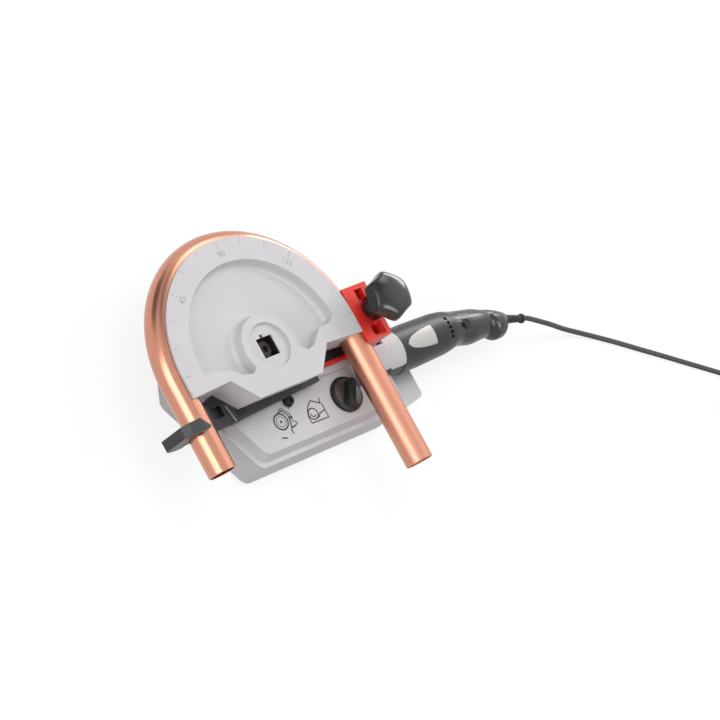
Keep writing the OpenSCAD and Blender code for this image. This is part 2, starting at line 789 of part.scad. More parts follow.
module cord_lead() {
  color(black) tube(lead_path, cord_d / 2, 10);
}

module cord_coil() {
  color(black) tube(coil_path, cord_d / 2, 6);
}

module at_plug() {
  translate(coil_path[coil_last]) rotate([0, 0, atan2(coil_heading[1], coil_heading[0])])
    rotate([0, 90, 0]) children();
}

module mains_plug() {
  half_h = floor_z + coil_pitch - 0.4;
  color(black)
  difference() {
    at_plug() {
      rotate_extrude() polygon([[0, 0], [4.6, 0], [6.4, 16], [0, 16]]);
      hull() {
        translate([0, 0, 15]) cylinder(r = 6.5, h = 1, $fn = 32);
        translate([-half_h, -plug_w / 2 + 5, 30]) cube([2 * half_h, plug_w - 10, plug_len - 30]);
        translate([-half_h + 4, -plug_w / 2, 32]) cube([2 * half_h - 8, plug_w, plug_len - 32]);
      }
    }
    at_plug() for (y = [-9.5, 9.5]) translate([0, y, plug_len - 8]) cylinder(r = 2.4 + seat_gap, h = 20);
  }
}

module plug_pins() {
  color(steel)
  at_plug() for (y = [-9.5, 9.5]) translate([0, y, plug_len - 8]) cylinder(r = 2.4, h = 27);
}

// Bending former and what turns with it
module groove_cut() {
  translate([0, 0, pipe_z]) {
    rotate_extrude(angle = 180) translate([bend_r, 0]) {
      circle(r = groove_r);
      translate([0, -groove_r]) square([20, 2 * groove_r]);
    }
    for (side = [-1, 1]) {
      translate([side * bend_r, eps, 0]) rotate([90, 0, 0]) cylinder(r = groove_r, h = lead_len + 1);
      translate([side * (bend_r + 10) - 10, -lead_len - 1, -groove_r])
        cube([20, lead_len + 1 + eps, 2 * groove_r]);
    }
  }
}

// Lower edge of the pocket: channel on the left of the boss, round lobe and step on the right
function pocket_edge() = concat([[-far, far], [-far, -5.5]],
  rounded_run([[-far, -5.5], [-98, -5.5], [-72, -12], [-boss_r - 19, -22], [-boss_r - 4, -25], [-20, -8],
    [boss_r - 4, -10], [boss_r + lobe_r - 3, -22], [boss_r + lobe_r + 10, -20], [82, -2], [100, -1],
    [112, 8], [far, 8]], 3.5),
  [[far, 8], [far, far]]);

module former_pocket() {
  d = pocket_depth;
  f = pocket_fillet;
  fillet = [for (a = [0:18:90]) [f * sin(a), f * (1 - cos(a))]];
  translate([0, 0, former_top - d])
  difference() {
    intersection() {
      rotate_extrude() polygon(concat([[0, 0]],
        [for (p = fillet) [pocket_r - f + p[0], p[1]]], [[pocket_r + 1, d + 1], [0, d + 1]]));
      translate([0, 0, -1]) linear_extrude(d + 3) polygon(pocket_edge());
    }
    rotate_extrude() polygon(concat([[0, -1], [boss_r + 2 + f, -1]],
      [for (p = fillet) [boss_r + 2 + f - p[0], p[1]]], [[boss_r, d + 2], [0, d + 2]]));
  }
}

module bending_former() {
  color(cast_grey)
  difference() {
    union() {
      difference() {
        translate([0, 0, former_z]) cylinder(r = rim_r, h = former_h, $fn = 180);
        translate([-far, -far, former_z - 1]) cube([2 * far, far, former_h + 2]);
      }
      translate([0, 0, former_z]) linear_extrude(former_h)
        polygon([[rim_r, 0], [-rim_r, 0], [-rim_r, -lead_len], [-hub_half - hub_slant, -lead_len + 3],
          [-hub_half, -hub_front], [hub_half, -hub_front], [hub_half + hub_slant, -lead_len + 3],
          [rim_r, -lead_len]]);
    }
    groove_cut();
    former_pocket();
    translate([-far, -hub_front, former_top]) rotate([atan2(hub_draft, former_h), 0, 0])
      translate([0, -far, -far]) cube([2 * far, far, 2 * far]);
    translate([0, 0, hub_top]) cylinder(r = hub_r, h = hub_sink + 1);
    translate([-square_w / 2 - square_gap, -square_w / 2 - square_gap, former_z - 1])
      cube([square_w + 2 * square_gap, square_w + 2 * square_gap, former_h + 2]);
    translate([-5, square_w / 2 - 1, former_z - 1]) cube([5, 5, former_h + 2]);
  }
}

module output_spindle() {
  color(steel)
  difference() {
    union() {
      translate([0, 0, under_z + 0.5]) cylinder(d = spindle_d, h = deck_z + 1 - under_z);
      translate([0, 0, deck_z + 0.6]) cylinder(d = spindle_d + 12, h = former_gap - 0.6);
      translate([-square_w / 2, -square_w / 2, former_z - 1])
        cube([square_w, square_w, bolt_z + 1 - former_z]);
    }
    translate([0, 0, bolt_z - 35]) cylinder(r = 5 + seat_gap, h = 60);
  }
}

module spindle_bolt() {
  color(steel)
  translate([0, 0, bolt_z]) {
    difference() {
      cylinder(r = 10, h = 7);
      translate([0, 0, 3]) cylinder(r = 4.6, h = 5, $fn = 6);
    }
    translate([0, 0, -30]) cylinder(r = 5, h = 31);
  }
}

module output_gear() {
  color(steel)
  translate([0, 0, out_gear_z])
  difference() {
    linear_extrude(out_gear_w) polygon(gear_outline(out_teeth, idler_dir));
    translate([0, 0, -1]) cylinder(r = spindle_d / 2 + seat_gap, h = out_gear_w + 2);
  }
}

module copper_pipe() {
  color(copper)
  translate([0, 0, pipe_z]) {
    rotate_extrude(angle = 180) translate([bend_r, 0]) difference() {
      circle(d = pipe_od);
      circle(d = pipe_od - 2 * pipe_wall);
    }
    translate([bend_r, 0, 0]) rotate([90, 0, 0]) ring(pipe_od / 2, pipe_od / 2 - pipe_wall, free_leg);
    translate([-bend_r, 0, 0]) rotate([90, 0, 0]) ring(pipe_od / 2, pipe_od / 2 - pipe_wall, hook_leg);
  }
}

// Pipe hook: shank under the former, block with a square pocket, and C-shaped head round the pipe
shank_back = 33;
shank_tip = 80;
shank_top = former_z - 0.4;
shank_low = deck_z + 3;
hook_top = pipe_z + pipe_od / 2 + hook_gap;
block_right = -bend_r + pipe_od / 2 + hook_gap;
block_top = pipe_z - pipe_od / 2 - hook_gap;

module pipe_hook() {
  arm_z = hook_top + hook_arm;
  tip_x = -bend_r + 2;
  color(dark_grey)
  difference() {
    union() {
      intersection() {
        translate([0, -40, 0]) rotate([90, 0, 0]) linear_extrude(40)
          polygon([[hook_in + 8, shank_low], [hook_out + 6, shank_low], [hook_out, shank_low + 6],
            [hook_out, hook_top], [hook_out + 8, arm_z], [-bend_r - 10, arm_z], [tip_x, hook_top + 2],
            [tip_x, hook_top], [hook_in, hook_top], [hook_in, block_top], [hook_in + 8, block_top]]);
        linear_extrude(former_top + hook_arm + hook_w)
          polygon([[hook_out, -hook_y + 5], [tip_x - 13, -hook_y + 6], [tip_x, -hook_y - 6],
            [tip_x, -hook_y - 8], [hook_out, -hook_y + 5 - hook_w]]);
      }
      translate([hook_out + 6, -hook_y + 5 - hook_w, shank_low])
        cube([block_right + 20 - hook_out, hook_w, block_top - shank_low]);
      translate([0, 0, shank_low]) linear_extrude(shank_top - shank_low)
        polygon([[block_right, -shank_back], [-84, -shank_back], [-78, -shank_back + 4.5],
          [-58, -shank_back + 4.5], [-44, -shank_back - 4.5], [shank_tip, -42],
          [shank_tip, -hub_front], [-50, -67], [block_right, -70]]);
      translate([block_right, -66, shank_low]) cube([24, 66 - shank_back, block_top - shank_low]);
    }
    translate([block_right + 28, -hook_y + 5, shank_top - 8]) cube([16, 14, 10]);
    translate([-bend_r, -20, pipe_z]) rotate([90, 0, 0]) cylinder(r = pipe_od / 2 + hook_gap, h = 60);
  }
}

// Pinion shaft and worm
module pinion_shaft() {
  gap_at = idler_dir + 180 + 180 / pinion_teeth;
  color(steel) {
    at_idler(pinion_z) linear_extrude(pinion_w) polygon(gear_outline(pinion_teeth, gap_at));
    at_idler(under_z + 0.3) cylinder(d = idler_d, h = room_z + 1.5 - under_z);
  }
}

module worm_wheel() {
  color(bronze)
  at_idler(wheel_z)
  difference() {
    linear_extrude(wheel_w) polygon(gear_outline(wheel_teeth, -90 + 180 / wheel_teeth));
    translate([0, 0, -1]) cylinder(r = idler_d / 2 + seat_gap, h = wheel_w + 2);
  }
}

module worm_shaft() {
  from = web_x[0] + 1;
  step_x = motor_end - 16;
  color(steel) {
    at_motor(from) cylinder(d = shaft_d, h = step_x - from);
    at_motor(step_x - 0.5) cylinder(r = journal_r, h = 8);
  }
}

module worm() {
  sides = 24;
  steps = 12;
  count = ceil(worm_len / worm_pitch * steps);
  bore = (shaft_d / 2 + seat_gap) / cos(180 / sides);
  place = [for (i = [0:count]) -worm_len / 2 + worm_len * i / count];
  outside = [for (x = place) [for (k = [0:sides - 1])
    let (a = 360 * k / sides)
    [x, worm_radius(a, x) * cos(a), worm_radius(a, x) * sin(a)]]];
  inside = [for (x = [worm_len / 2, -worm_len / 2]) [for (k = [0:sides - 1])
    let (a = 360 * k / sides)
    [x, bore * cos(a), bore * sin(a)]]];
  rings = concat(outside, inside);
  m = len(rings);
  color(steel)
  translate([idler_x, motor_y, axis_z])
    polyhedron([for (r = rings) each r], [for (i = [0:m - 1], j = [0:sides - 1])
      let (a = i * sides + j, b = i * sides + (j + 1) % sides)
      let (c = ((i + 1) % m) * sides + j, d = ((i + 1) % m) * sides + (j + 1) % sides)
      each [[a, d, b], [a, c, d]]]);
}

module armature() {
  slots = 12;
  color(steel)
  at_motor(stack_x)
  difference() {
    ring(armature_d / 2, shaft_d / 2 + seat_gap, stack_len);
    for (k = [0:slots - 1]) rotate(360 * k / slots)
      translate([armature_d / 2 - 4, -1, -1]) cube([6, 2, stack_len + 2]);
  }
}

module commutator() {
  color(copper)
  at_motor(comm_x) ring(11, shaft_d / 2 + seat_gap, comm_len);
}

module cooling_fan() {
  blades = 9;
  color(black)
  at_motor(fan_x) {
    ring(9, shaft_d / 2 + seat_gap, fan_w);
    ring(22, 8, 2);
    for (k = [0:blades - 1]) rotate(360 * k / blades) translate([8, -0.8, 1]) cube([13, 1.6, 8]);
  }
}

// Slide carriage and its clamp
module slide_carriage() {
  front = carriage_y - carriage_w / 2;
  cheek = (carriage_w - rail_w) / 2 - rail_gap;
  color(red)
  difference() {
    union() {
      translate([bend_r - plate_reach, front, deck_z + 0.3])
        cube([block_end - bend_r + plate_reach, cheek, rail_t]);
      for (y = [front, front + carriage_w - cheek])
        translate([block_x, y, deck_z + 0.3]) cube([block_end - block_x, cheek, rail_t + 1]);
      translate([block_x, front, carriage_z])
        cube([block_end - block_x, carriage_w, former_top - carriage_z]);
      translate([screw_x, carriage_y, former_top - 1]) cylinder(r = 13, h = 3);
    }
    translate([bend_r, front - 1, pipe_z]) rotate([-90, 0, 0])
      cylinder(r = pipe_od / 2 + slide_gap, h = carriage_w + 2);
    translate([screw_x, carriage_y, 0]) cylinder(r = screw_d / 2 + run_gap, h = 200);
    translate([bend_r + 21, carriage_y + 15, former_top - 26]) cube([13, 15, 30]);
    translate([bend_r + 27, carriage_y - 24, former_top - 26]) cylinder(r = 7, h = 30);
    translate([bend_r + 17, carriage_y - 33, former_top - 5]) cube([20, 17, 8]);
  }
}

module clamp_nut() {
  color(steel)
  difference() {
    translate([screw_x - nut_w / 2, carriage_y - nut_w / 2, deck_z - nut_t - 0.2])
      cube([nut_w, nut_w, nut_t]);
    translate([screw_x, carriage_y, deck_z - 20]) cylinder(r = screw_d / 2 + run_gap, h = 40);
  }
}

module clamp_screw() {
  color(steel)
  translate([screw_x, carriage_y, deck_z - nut_t])
    cylinder(d = screw_d, h = star_z + star_neck + 6 - deck_z + nut_t);
}

module star_knob() {
  lobe_r0 = star_d / 2;
  scallop = 60;
  color(black)
  translate([screw_x, carriage_y, star_z]) rotate(20)
  difference() {
    rotate_extrude() polygon([[0, 0], [15, 0], [16, 3], [14, star_neck - 6], [20, star_neck - 2],
      [lobe_r0 - 3, star_neck], [lobe_r0, star_neck + 4], [lobe_r0, star_neck + 14],
      [lobe_r0 - 5, star_neck + star_head - 5], [lobe_r0 - 14, star_neck + star_head - 1],
      [0, star_neck + star_head]]);
    translate([0, 0, -1]) cylinder(r = screw_d / 2 + seat_gap, h = star_neck + 8);
    for (k = [0:star_lobes - 1]) rotate(360 * (k + 0.5) / star_lobes)
      translate([lobe_r0 + scallop - 5, 0, star_neck - 10]) cylinder(r = scallop, h = 60);
  }
}

// Dial on the panel
module dial_knob() {
  r = dial_d / 2;
  color(black)
  translate([dial_x, -dial_off, panel_z + 0.4])
  difference() {
    rotate_extrude() polygon([[0, 0], [r, 0], [r, 3], [r - 2, 5], [r - 4.5, dial_h - 2], [r - 6.5, dial_h],
      [0, dial_h]]);
    translate([0, 0, -1]) cylinder(r = 3 + seat_gap, h = dial_h - 4);
    for (side = [0, 180]) rotate(side + dial_turn) translate([-30, dial_bar / 2, 6]) cube([60, 30, 30]);
  }
}

module dial_shaft() {
  color(steel)
  translate([dial_x, -dial_off, room_z - 5.5]) cylinder(r = 3, h = panel_z + 10 - room_z + 5.5);
}

placed() base_housing();
placed() bottom_plate();
placed() rubber_feet();
placed() plate_screws();
placed() spindle_bushes();
placed() idler_bushes();
placed() worm_bearings();
placed() guide_rail();
placed() motor_housing();
placed() stator();
placed() brush_holders();
placed() motor_bearing();
placed() saddle_cap();
placed() saddle_screws();
placed() motor_badge();
placed() handle_upper();
placed() handle_lower();
placed() switch_module();
placed() potentiometer();
placed() strain_relief();
placed() cord_lead();
placed() cord_coil();
placed() mains_plug();
placed() plug_pins();
placed() bending_former();
placed() output_spindle();
placed() output_gear();
placed() spindle_bolt();
placed() copper_pipe();
placed() pipe_hook();
placed() pinion_shaft();
placed() worm_wheel();
placed() worm_shaft();
placed() worm();
placed() armature();
placed() commutator();
placed() cooling_fan();
placed() slide_carriage();
placed() clamp_nut();
placed() star_knob();
placed() clamp_screw();
placed() dial_knob();
placed() dial_shaft();
placed() switch_trigger();
placed() direction_lever();
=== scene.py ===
"""Electric pipe bender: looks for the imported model, in metres, in the model's own frame."""

import json
import math

import bmesh
import bpy
from mathutils import Matrix, Vector


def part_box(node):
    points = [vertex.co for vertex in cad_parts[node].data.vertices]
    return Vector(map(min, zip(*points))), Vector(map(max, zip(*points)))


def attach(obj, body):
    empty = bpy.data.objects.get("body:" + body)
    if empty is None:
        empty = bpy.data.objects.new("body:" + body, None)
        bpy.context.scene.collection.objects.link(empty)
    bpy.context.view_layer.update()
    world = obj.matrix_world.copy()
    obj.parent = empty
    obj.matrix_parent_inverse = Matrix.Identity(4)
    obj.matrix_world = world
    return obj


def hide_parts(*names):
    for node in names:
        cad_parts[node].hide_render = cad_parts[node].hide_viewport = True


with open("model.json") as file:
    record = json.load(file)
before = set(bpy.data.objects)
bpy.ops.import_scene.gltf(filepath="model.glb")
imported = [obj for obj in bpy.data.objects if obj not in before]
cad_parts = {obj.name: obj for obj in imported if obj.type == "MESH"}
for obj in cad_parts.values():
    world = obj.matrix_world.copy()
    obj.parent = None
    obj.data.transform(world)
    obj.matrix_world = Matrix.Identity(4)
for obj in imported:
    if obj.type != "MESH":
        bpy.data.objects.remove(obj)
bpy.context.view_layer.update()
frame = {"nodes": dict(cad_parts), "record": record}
NODES = frame["nodes"]
SLOTS = {row["node"]: row["material_slot"] for row in frame["record"]["subparts"]}
scene = bpy.context.scene

# Sizes of the pipe, in the millimetres of the CAD source

MM = 0.001
BEND_R = 140.0
PIPE_R = 17.5
PIPE_WALL = 1.5
HOOK_LEG = 116.0
FREE_LEG = 198.0

# The CAD source is drawn round the drive spindle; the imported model's origin is under its middle

pipe_low, pipe_high = (Vector(corner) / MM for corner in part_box("copper_pipe"))
MIDDLE = Vector((-(pipe_low.x + pipe_high.x) / 2, -FREE_LEG - pipe_low.y, 0.0))

# Levels and places of the CAD source

PANEL_Z = 55.0
PIPE_Z = 94.0
FORMER_TOP = 115.0
MOTOR_Y = -52.0
AXIS_Z = 41.0
STAR = (170.0, -5.0, 117.3)
DIAL = (121.0, -81.0, 55.4)
STOP_SCREW = (33.0, -61.5, PANEL_Z)
GRIP = (395.0, -62.0, 60.0)
RELIEF = Vector((441.0, -67.6, AXIS_Z))
RELIEF_TURN = math.radians(-15)
RELIEF_LEN = 34.0


def at(x, y, z):
    """A point of the CAD source, in metres in the model's frame."""
    return (Vector((x, y, z)) - MIDDLE) * MM


# Shader helpers

NOISE_LOW = 0.3
NOISE_HIGH = 0.7
BLOTCH_DETAIL = 5.0
GRAIN_DETAIL = 3.0
COAT_ROUGHNESS = 0.12


def link(tree, a, b):
    tree.links.new(a, b)


def shader(name):
    mat = bpy.data.materials.new(name)
    mat.use_nodes = True
    tree = mat.node_tree
    return mat, tree, tree.nodes["Principled BSDF"]


def noise(tree, vector, scale, detail, stretch=None):
    """A noise texture on some coordinates; stretch scales their axes."""
    tex = tree.nodes.new("ShaderNodeTexNoise")
    tex.inputs["Scale"].default_value = scale
    tex.inputs["Detail"].default_value = detail
    if stretch:
        mapping = tree.nodes.new("ShaderNodeMapping")
        mapping.inputs["Scale"].default_value = stretch
        link(tree, vector, mapping.inputs["Vector"])
        vector = mapping.outputs["Vector"]
    link(tree, vector, tex.inputs["Vector"])
    return tex.outputs["Fac"]


def ramp(tree, fac, stops):
    node = tree.nodes.new("ShaderNodeValToRGB")
    marks = node.color_ramp.elements
    while len(marks) < len(stops):
        marks.new(0.5)
    for mark, (place, colour) in zip(marks, stops):
        mark.position = place
        mark.color = (*colour, 1.0)
    link(tree, fac, node.inputs["Fac"])
    return node.outputs["Color"]


def between(tree, value, low, high, to_low=0.0, to_high=1.0, smooth=False):
    """A value's place between two others, held at its ends."""
    node = tree.nodes.new("ShaderNodeMapRange")
    if smooth:
        node.interpolation_type = "SMOOTHSTEP"
    sockets = (("From Min", low), ("From Max", high), ("To Min", to_low), ("To Max", to_high))
    for socket, number in sockets:
        node.inputs[socket].default_value = number
    link(tree, value, node.inputs["Value"])
    return node.outputs["Result"]


def maths(tree, operation, a, b):
    """The sum or the greatest of two outputs; the second may be a number."""
    node = tree.nodes.new("ShaderNodeMath")
    node.operation = operation
    link(tree, a, node.inputs[0])
    if isinstance(b, float):
        node.inputs[1].default_value = b
    else:
        link(tree, b, node.inputs[1])
    return node.outputs[0]


def mix_shader(tree, fac, first, second):
    node = tree.nodes.new("ShaderNodeMixShader")
    link(tree, fac, node.inputs["Fac"])
    link(tree, first, node.inputs[1])
    link(tree, second, node.inputs[2])
    return node.outputs[0]


def bump(tree, bsdf, fac, distance):
    node = tree.nodes.new("ShaderNodeBump")
    node.inputs["Distance"].default_value = distance
    node.inputs["Strength"].default_value = 1.0
    link(tree, fac, node.inputs["Height"])
    link(tree, node.outputs["Normal"], bsdf.inputs["Normal"])


def tint(colour, share):
    return tuple(min(1.0, part * share) for part in colour)


def finish_of(name, colour, rough, metallic=0.0, blotch=40.0, vary=0.05, grain=1500.0,
              grain_depth=0.00002, rough_vary=0.06, stretch=None, coat=0.0, shine=0.5):
    """A surface with a colour that drifts slightly, and a grain in its gloss and its bump."""
    mat, tree, bsdf = shader(name)
    coords = tree.nodes.new("ShaderNodeTexCoord").outputs["Object"]
    drift = noise(tree, coords, blotch, BLOTCH_DETAIL, stretch)
    tones = [(NOISE_LOW, tint(colour, 1 - vary)), (NOISE_HIGH, tint(colour, 1 + vary))]
    link(tree, ramp(tree, drift, tones), bsdf.inputs["Base Color"])
    fine = noise(tree, coords, grain, GRAIN_DETAIL, stretch)
    gloss = between(tree, fine, NOISE_LOW, NOISE_HIGH, rough - rough_vary, rough + rough_vary)
    link(tree, gloss, bsdf.inputs["Roughness"])
    bump(tree, bsdf, fine, grain_depth)
    bsdf.inputs["Metallic"].default_value = metallic
    bsdf.inputs["Specular IOR Level"].default_value = shine
    if coat:
        bsdf.inputs["Coat Weight"].default_value = coat
        bsdf.inputs["Coat Roughness"].default_value = COAT_ROUGHNESS
    return mat


# Copper: fine streaks of the drawn tube

COPPER_TONES = ((0.30, (0.57, 0.250, 0.168)), (0.50, (0.61, 0.280, 0.192)), (0.72, (0.65, 0.315, 0.223)))
COPPER_ROUGH = (0.17, 0.25)
COPPER_BUMP = 0.0000015
# Streaks per metre, along and across
COLOUR_STREAKS = (3.0, 210.0)
GLOSS_STREAKS = (6.0, 420.0)
BUMP_STREAKS = (4.0, 700.0)
# The free leg is duller: metres along the pipe where that starts and is full, and the roughness added
LEG_DULL = (0.30, 0.58)
LEG_ROUGH = 0.16


def drawn_copper(name):
    """Copper tube, from coordinates that lie straight along it."""
    mat, tree, bsdf = shader(name)
    straight = tree.nodes.new("ShaderNodeAttribute")
    straight.attribute_name = "straight"
    place = tree.nodes.new("ShaderNodeSeparateXYZ")
    link(tree, straight.outputs["Vector"], place.inputs["Vector"])
    length = place.outputs["X"]

    def streaks(scales, detail=4.0):
        return noise(tree, straight.outputs["Vector"], 1.0, detail, (scales[0], scales[1], scales[1]))

    colour = ramp(tree, streaks(COLOUR_STREAKS), COPPER_TONES)
    link(tree, colour, bsdf.inputs["Base Color"])
    gloss = between(tree, streaks(GLOSS_STREAKS), NOISE_LOW, NOISE_HIGH, *COPPER_ROUGH)
    dull = between(tree, length, *LEG_DULL, 0.0, LEG_ROUGH)
    link(tree, maths(tree, "ADD", gloss, dull), bsdf.inputs["Roughness"])
    bump(tree, bsdf, streaks(BUMP_STREAKS, 2.0), COPPER_BUMP)
    bsdf.inputs["Metallic"].default_value = 1.0
    return mat


# Materials

MATS = {
    "cast_grey": finish_of("cast_grey", (0.60, 0.585, 0.60), 0.46, blotch=25, vary=0.025, grain=900,
                           grain_depth=0.00004),
    "dark_plastic": finish_of("dark_plastic", (0.021, 0.020, 0.024), 0.36, grain=2600, shine=0.34),
    "grip_plastic": finish_of("grip_plastic", (0.021, 0.020, 0.024), 0.26, rough_vary=0.03, grain=2600,
                              grain_depth=0.00001),
    "black_plastic": finish_of("black_plastic", (0.013, 0.0122, 0.0125), 0.22, blotch=30, grain=140,
                               grain_depth=0.000006, rough_vary=0.03, coat=0.25, shine=0.36),
    "black_matt": finish_of("black_matt", (0.012, 0.012, 0.013), 0.55, grain=2600, grain_depth=0.00003,
                            shine=0.3),
    "rubber": finish_of("rubber", (0.032, 0.031, 0.034), 0.56, blotch=90, vary=0.15, grain=1800,
                        grain_depth=0.00003),
    "copper": drawn_copper("copper"),
    "red_cast": finish_of("red_cast", (0.80, 0.039, 0.028), 0.38, blotch=30, vary=0.06, grain=1100,
                          grain_depth=0.00004, coat=0.08, shine=0.42),
    "steel": finish_of("steel", (0.52, 0.53, 0.55), 0.32, metallic=1.0, blotch=60, grain=700,
                       grain_depth=0.00001),
    "black_steel": finish_of("black_steel", (0.036, 0.035, 0.038), 0.42, metallic=0.35, blotch=70, vary=0.14,
                             grain=1300, grain_depth=0.00005),
    "bronze": finish_of("bronze", (0.46, 0.29, 0.11), 0.40, metallic=1.0, blotch=80, grain=1600),
    "badge": finish_of("badge", (0.44, 0.428, 0.42), 0.42, metallic=0.35, blotch=30, vary=0.03, grain=300,
                       stretch=(1.0, 6.0, 6.0)),
    # The dial face is dark, and its brownish tint paints the reflection of the copper pipe above it
    "dial_face": finish_of("dial_face", (0.050, 0.040, 0.037), 0.30, blotch=60, vary=0.10, grain=1800,
                           grain_depth=0.00001, coat=0.3),
    "copper_bar": finish_of("copper_bar", (0.63, 0.278, 0.172), 0.35, metallic=1.0, grain=800),
    "dark_socket": finish_of("dark_socket", (0.030, 0.024, 0.021), 0.48, metallic=0.4, blotch=90, vary=0.2,
                             grain=1200),
    # A lighter steel for the strip that paints the highlight on the edge of the hook's block
    "highlight_steel": finish_of("highlight_steel", (0.22, 0.215, 0.23), 0.36, metallic=0.5, blotch=200, vary=0.25,
                            grain=1300),
    "ink_grey": finish_of("ink_grey", (0.41, 0.40, 0.41), 0.5, vary=0.08, grain=900),
    "ink_black": finish_of("ink_black", (0.050, 0.047, 0.052), 0.5, vary=0.1, grain=900),
}
OWN_LOOKS = {
    "commutator": "copper_bar",
    "handle_upper": "grip_plastic",
    "handle_lower": "grip_plastic",
    "output_spindle": "dark_socket",
    "spindle_bolt": "dark_socket",
}
for node_name, node_obj in NODES.items():
    node_obj.data.materials.clear()
    node_obj.data.materials.append(MATS[OWN_LOOKS.get(node_name, SLOTS[node_name])])

# Mesh helpers

EDGE_ANGLE = math.radians(35)
FLAT_ANGLE = math.radians(0.5)
MITRE_LIMIT = 0.4
FIGURE_DEPTH = 0.1
FIGURE_BOLD = 0.15


def add_object(name, data):
    obj = bpy.data.objects.new(name, data)
    scene.collection.objects.link(obj)
    return obj


def mesh_object(name, bm):
    """Turns a bmesh into an object."""
    mesh = bpy.data.meshes.new(name)
    bm.to_mesh(mesh)
    bm.free()
    return add_object(name, mesh)


def make(name, bm, slot, body, mat=None, smooth=35.0):
    """Turns a bmesh into a piece that rides on a body."""
    bmesh.ops.recalc_face_normals(bm, faces=bm.faces)
    obj = mesh_object(name, bm)
    obj.data.materials.append(MATS[mat or slot])
    if smooth:
        obj.data.shade_smooth()
        obj.data.set_sharp_from_angle(angle=math.radians(smooth))
    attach(obj, body)
    return obj


def bevel(obj, width):
    mod = obj.modifiers.new("edge", "BEVEL")
    mod.width = width * MM
    mod.segments = 2
    mod.limit_method = "ANGLE"
    mod.angle_limit = EDGE_ANGLE
    mod.harden_normals = False
    return mod


def soften(obj, width):
    """Rounded edges for a CAD node, with flat faces kept flat in their shading."""
    obj.data.shade_smooth()
    join = obj.modifiers.new("join", "DECIMATE")
    join.decimate_type = "DISSOLVE"
    join.angle_limit = FLAT_ANGLE
    bevel(obj, width).use_clamp_overlap = False
    obj.modifiers.new("flat", "WEIGHTED_NORMAL").keep_sharp = False


def skin(bm, rings, loop=False):
    """Quads between closed rings of points, with caps; loop joins the last ring to the first instead."""
    rows = [[bm.verts.new(p) for p in ring] for ring in rings]
    count = len(rows[0])
    pairs = list(zip(rows, rows[1:])) + ([(rows[-1], rows[0])] if loop else [])
    for low, high in pairs:
        for k in range(count):
            j = (k + 1) % count
            bm.faces.new((low[k], low[j], high[j], high[k]))
    if not loop:
        bm.faces.new(rows[0][::-1])
        bm.faces.new(rows[-1])
    return rows


def plate(bm, points, low, high, place=at):
    """A solid with one outline, from one level to another."""
    skin(bm, [[place(u, v, h) for u, v in points] for h in (low, high)])


def lathe(bm, profile, place, sides=64, radius=None):
    """Rings of a profile of (radius, height); radius(r, h, angle) may change it, place maps to metres."""
    rings = []
    for r, h in profile:
        ring = []
        for k in range(sides):
            a = 2 * math.pi * k / sides
            rr = radius(r, h, a) if radius else r
            ring.append(place(rr * math.cos(a), rr * math.sin(a), h))
        rings.append(ring)
    skin(bm, rings)


def ribbon(bm, points, width, low, high, closed=False):
    """A flat line of one width through points in plan, from one level to another."""
    points = [Vector(p) for p in points]
    count = len(points)
    rings = []
    for i, p in enumerate(points):
        before = points[i - 1] if closed or i else None
        after = points[(i + 1) % count] if closed or i < count - 1 else None
        sides = []
        for a, b in ((before, p), (p, after)):
            if a is not None and b is not None:
                run = (b - a).normalized()
                sides.append(Vector((-run.y, run.x)))
        middle = sum(sides, Vector((0, 0))).normalized()
        reach = middle * (width / 2 / max(middle.dot(sides[0]), MITRE_LIMIT))
        left = p + reach
        right = p - reach
        rings.append([at(*left, low), at(*right, low), at(*right, high), at(*left, high)])
    skin(bm, rings, loop=closed)


def arc(centre, r, start=0.0, end=360.0, steps=40):
    """Points on an arc; a full circle leaves out its last point."""
    count = steps if end - start >= 360 else steps + 1
    turns = [math.radians(start + (end - start) * k / steps) for k in range(count)]
    return [(centre[0] + r * math.cos(a), centre[1] + r * math.sin(a)) for a in turns]


def rectangle(x0, y0, x1, y1):
    return [(x0, y0), (x1, y0), (x1, y1), (x0, y1)]


def numeral(bm, words, x, y, z, turn, size):
    """Adds thin figures that lie flat, with their middle at a place."""
    curve = bpy.data.curves.new("figures", "FONT")
    curve.body = words
    curve.size = size * MM
    curve.extrude = FIGURE_DEPTH * MM
    curve.offset = FIGURE_BOLD * MM
    curve.resolution_u = 4
    curve.align_x = "CENTER"
    curve.align_y = "CENTER"
    holder = bpy.data.objects.new("figures", curve)
    mesh = bpy.data.meshes.new_from_object(holder)
    mesh.transform(Matrix.Translation(at(x, y, z)) @ Matrix.Rotation(turn, 4, "Z"))
    bm.from_mesh(mesh)
    bpy.data.meshes.remove(mesh)
    bpy.data.objects.remove(holder)
    bpy.data.curves.remove(curve)


def upright(x, y, z):
    """Places for a lathe that stands on a point."""
    return lambda u, v, h: at(x + u, y + v, z + h)


# Cord: the same route as the CAD source, then the coil that is put away behind the view

CORD_R = 3.5
FLOOR = CORD_R + 0.05
LEAD_IN = 3.5
LEAD_OUT = 8.0
LEAD_STEPS = 3
ROUTE = [(504, -88, 36.5), (530, -97, 27.5), (560, -107, 15), (592, -119, 6.5), (625, -136, FLOOR),
         (655, -154, FLOOR), (685, -173, FLOOR), (714, -191, FLOOR), (744, -210, FLOOR), (774, -229, FLOOR),
         (804, -248, FLOOR), (825, -261.5, FLOOR), (846, -275, FLOOR)]
TURNS = 7.25
TURN_STEPS = 24
PITCH = 7.5
COIL_R = 42.0
HAIR = 0.01
TAIL = 48.0
relief_along = Vector((math.cos(RELIEF_TURN), math.sin(RELIEF_TURN), 0))
relief_side = Vector((-relief_along.y, relief_along.x, 0))


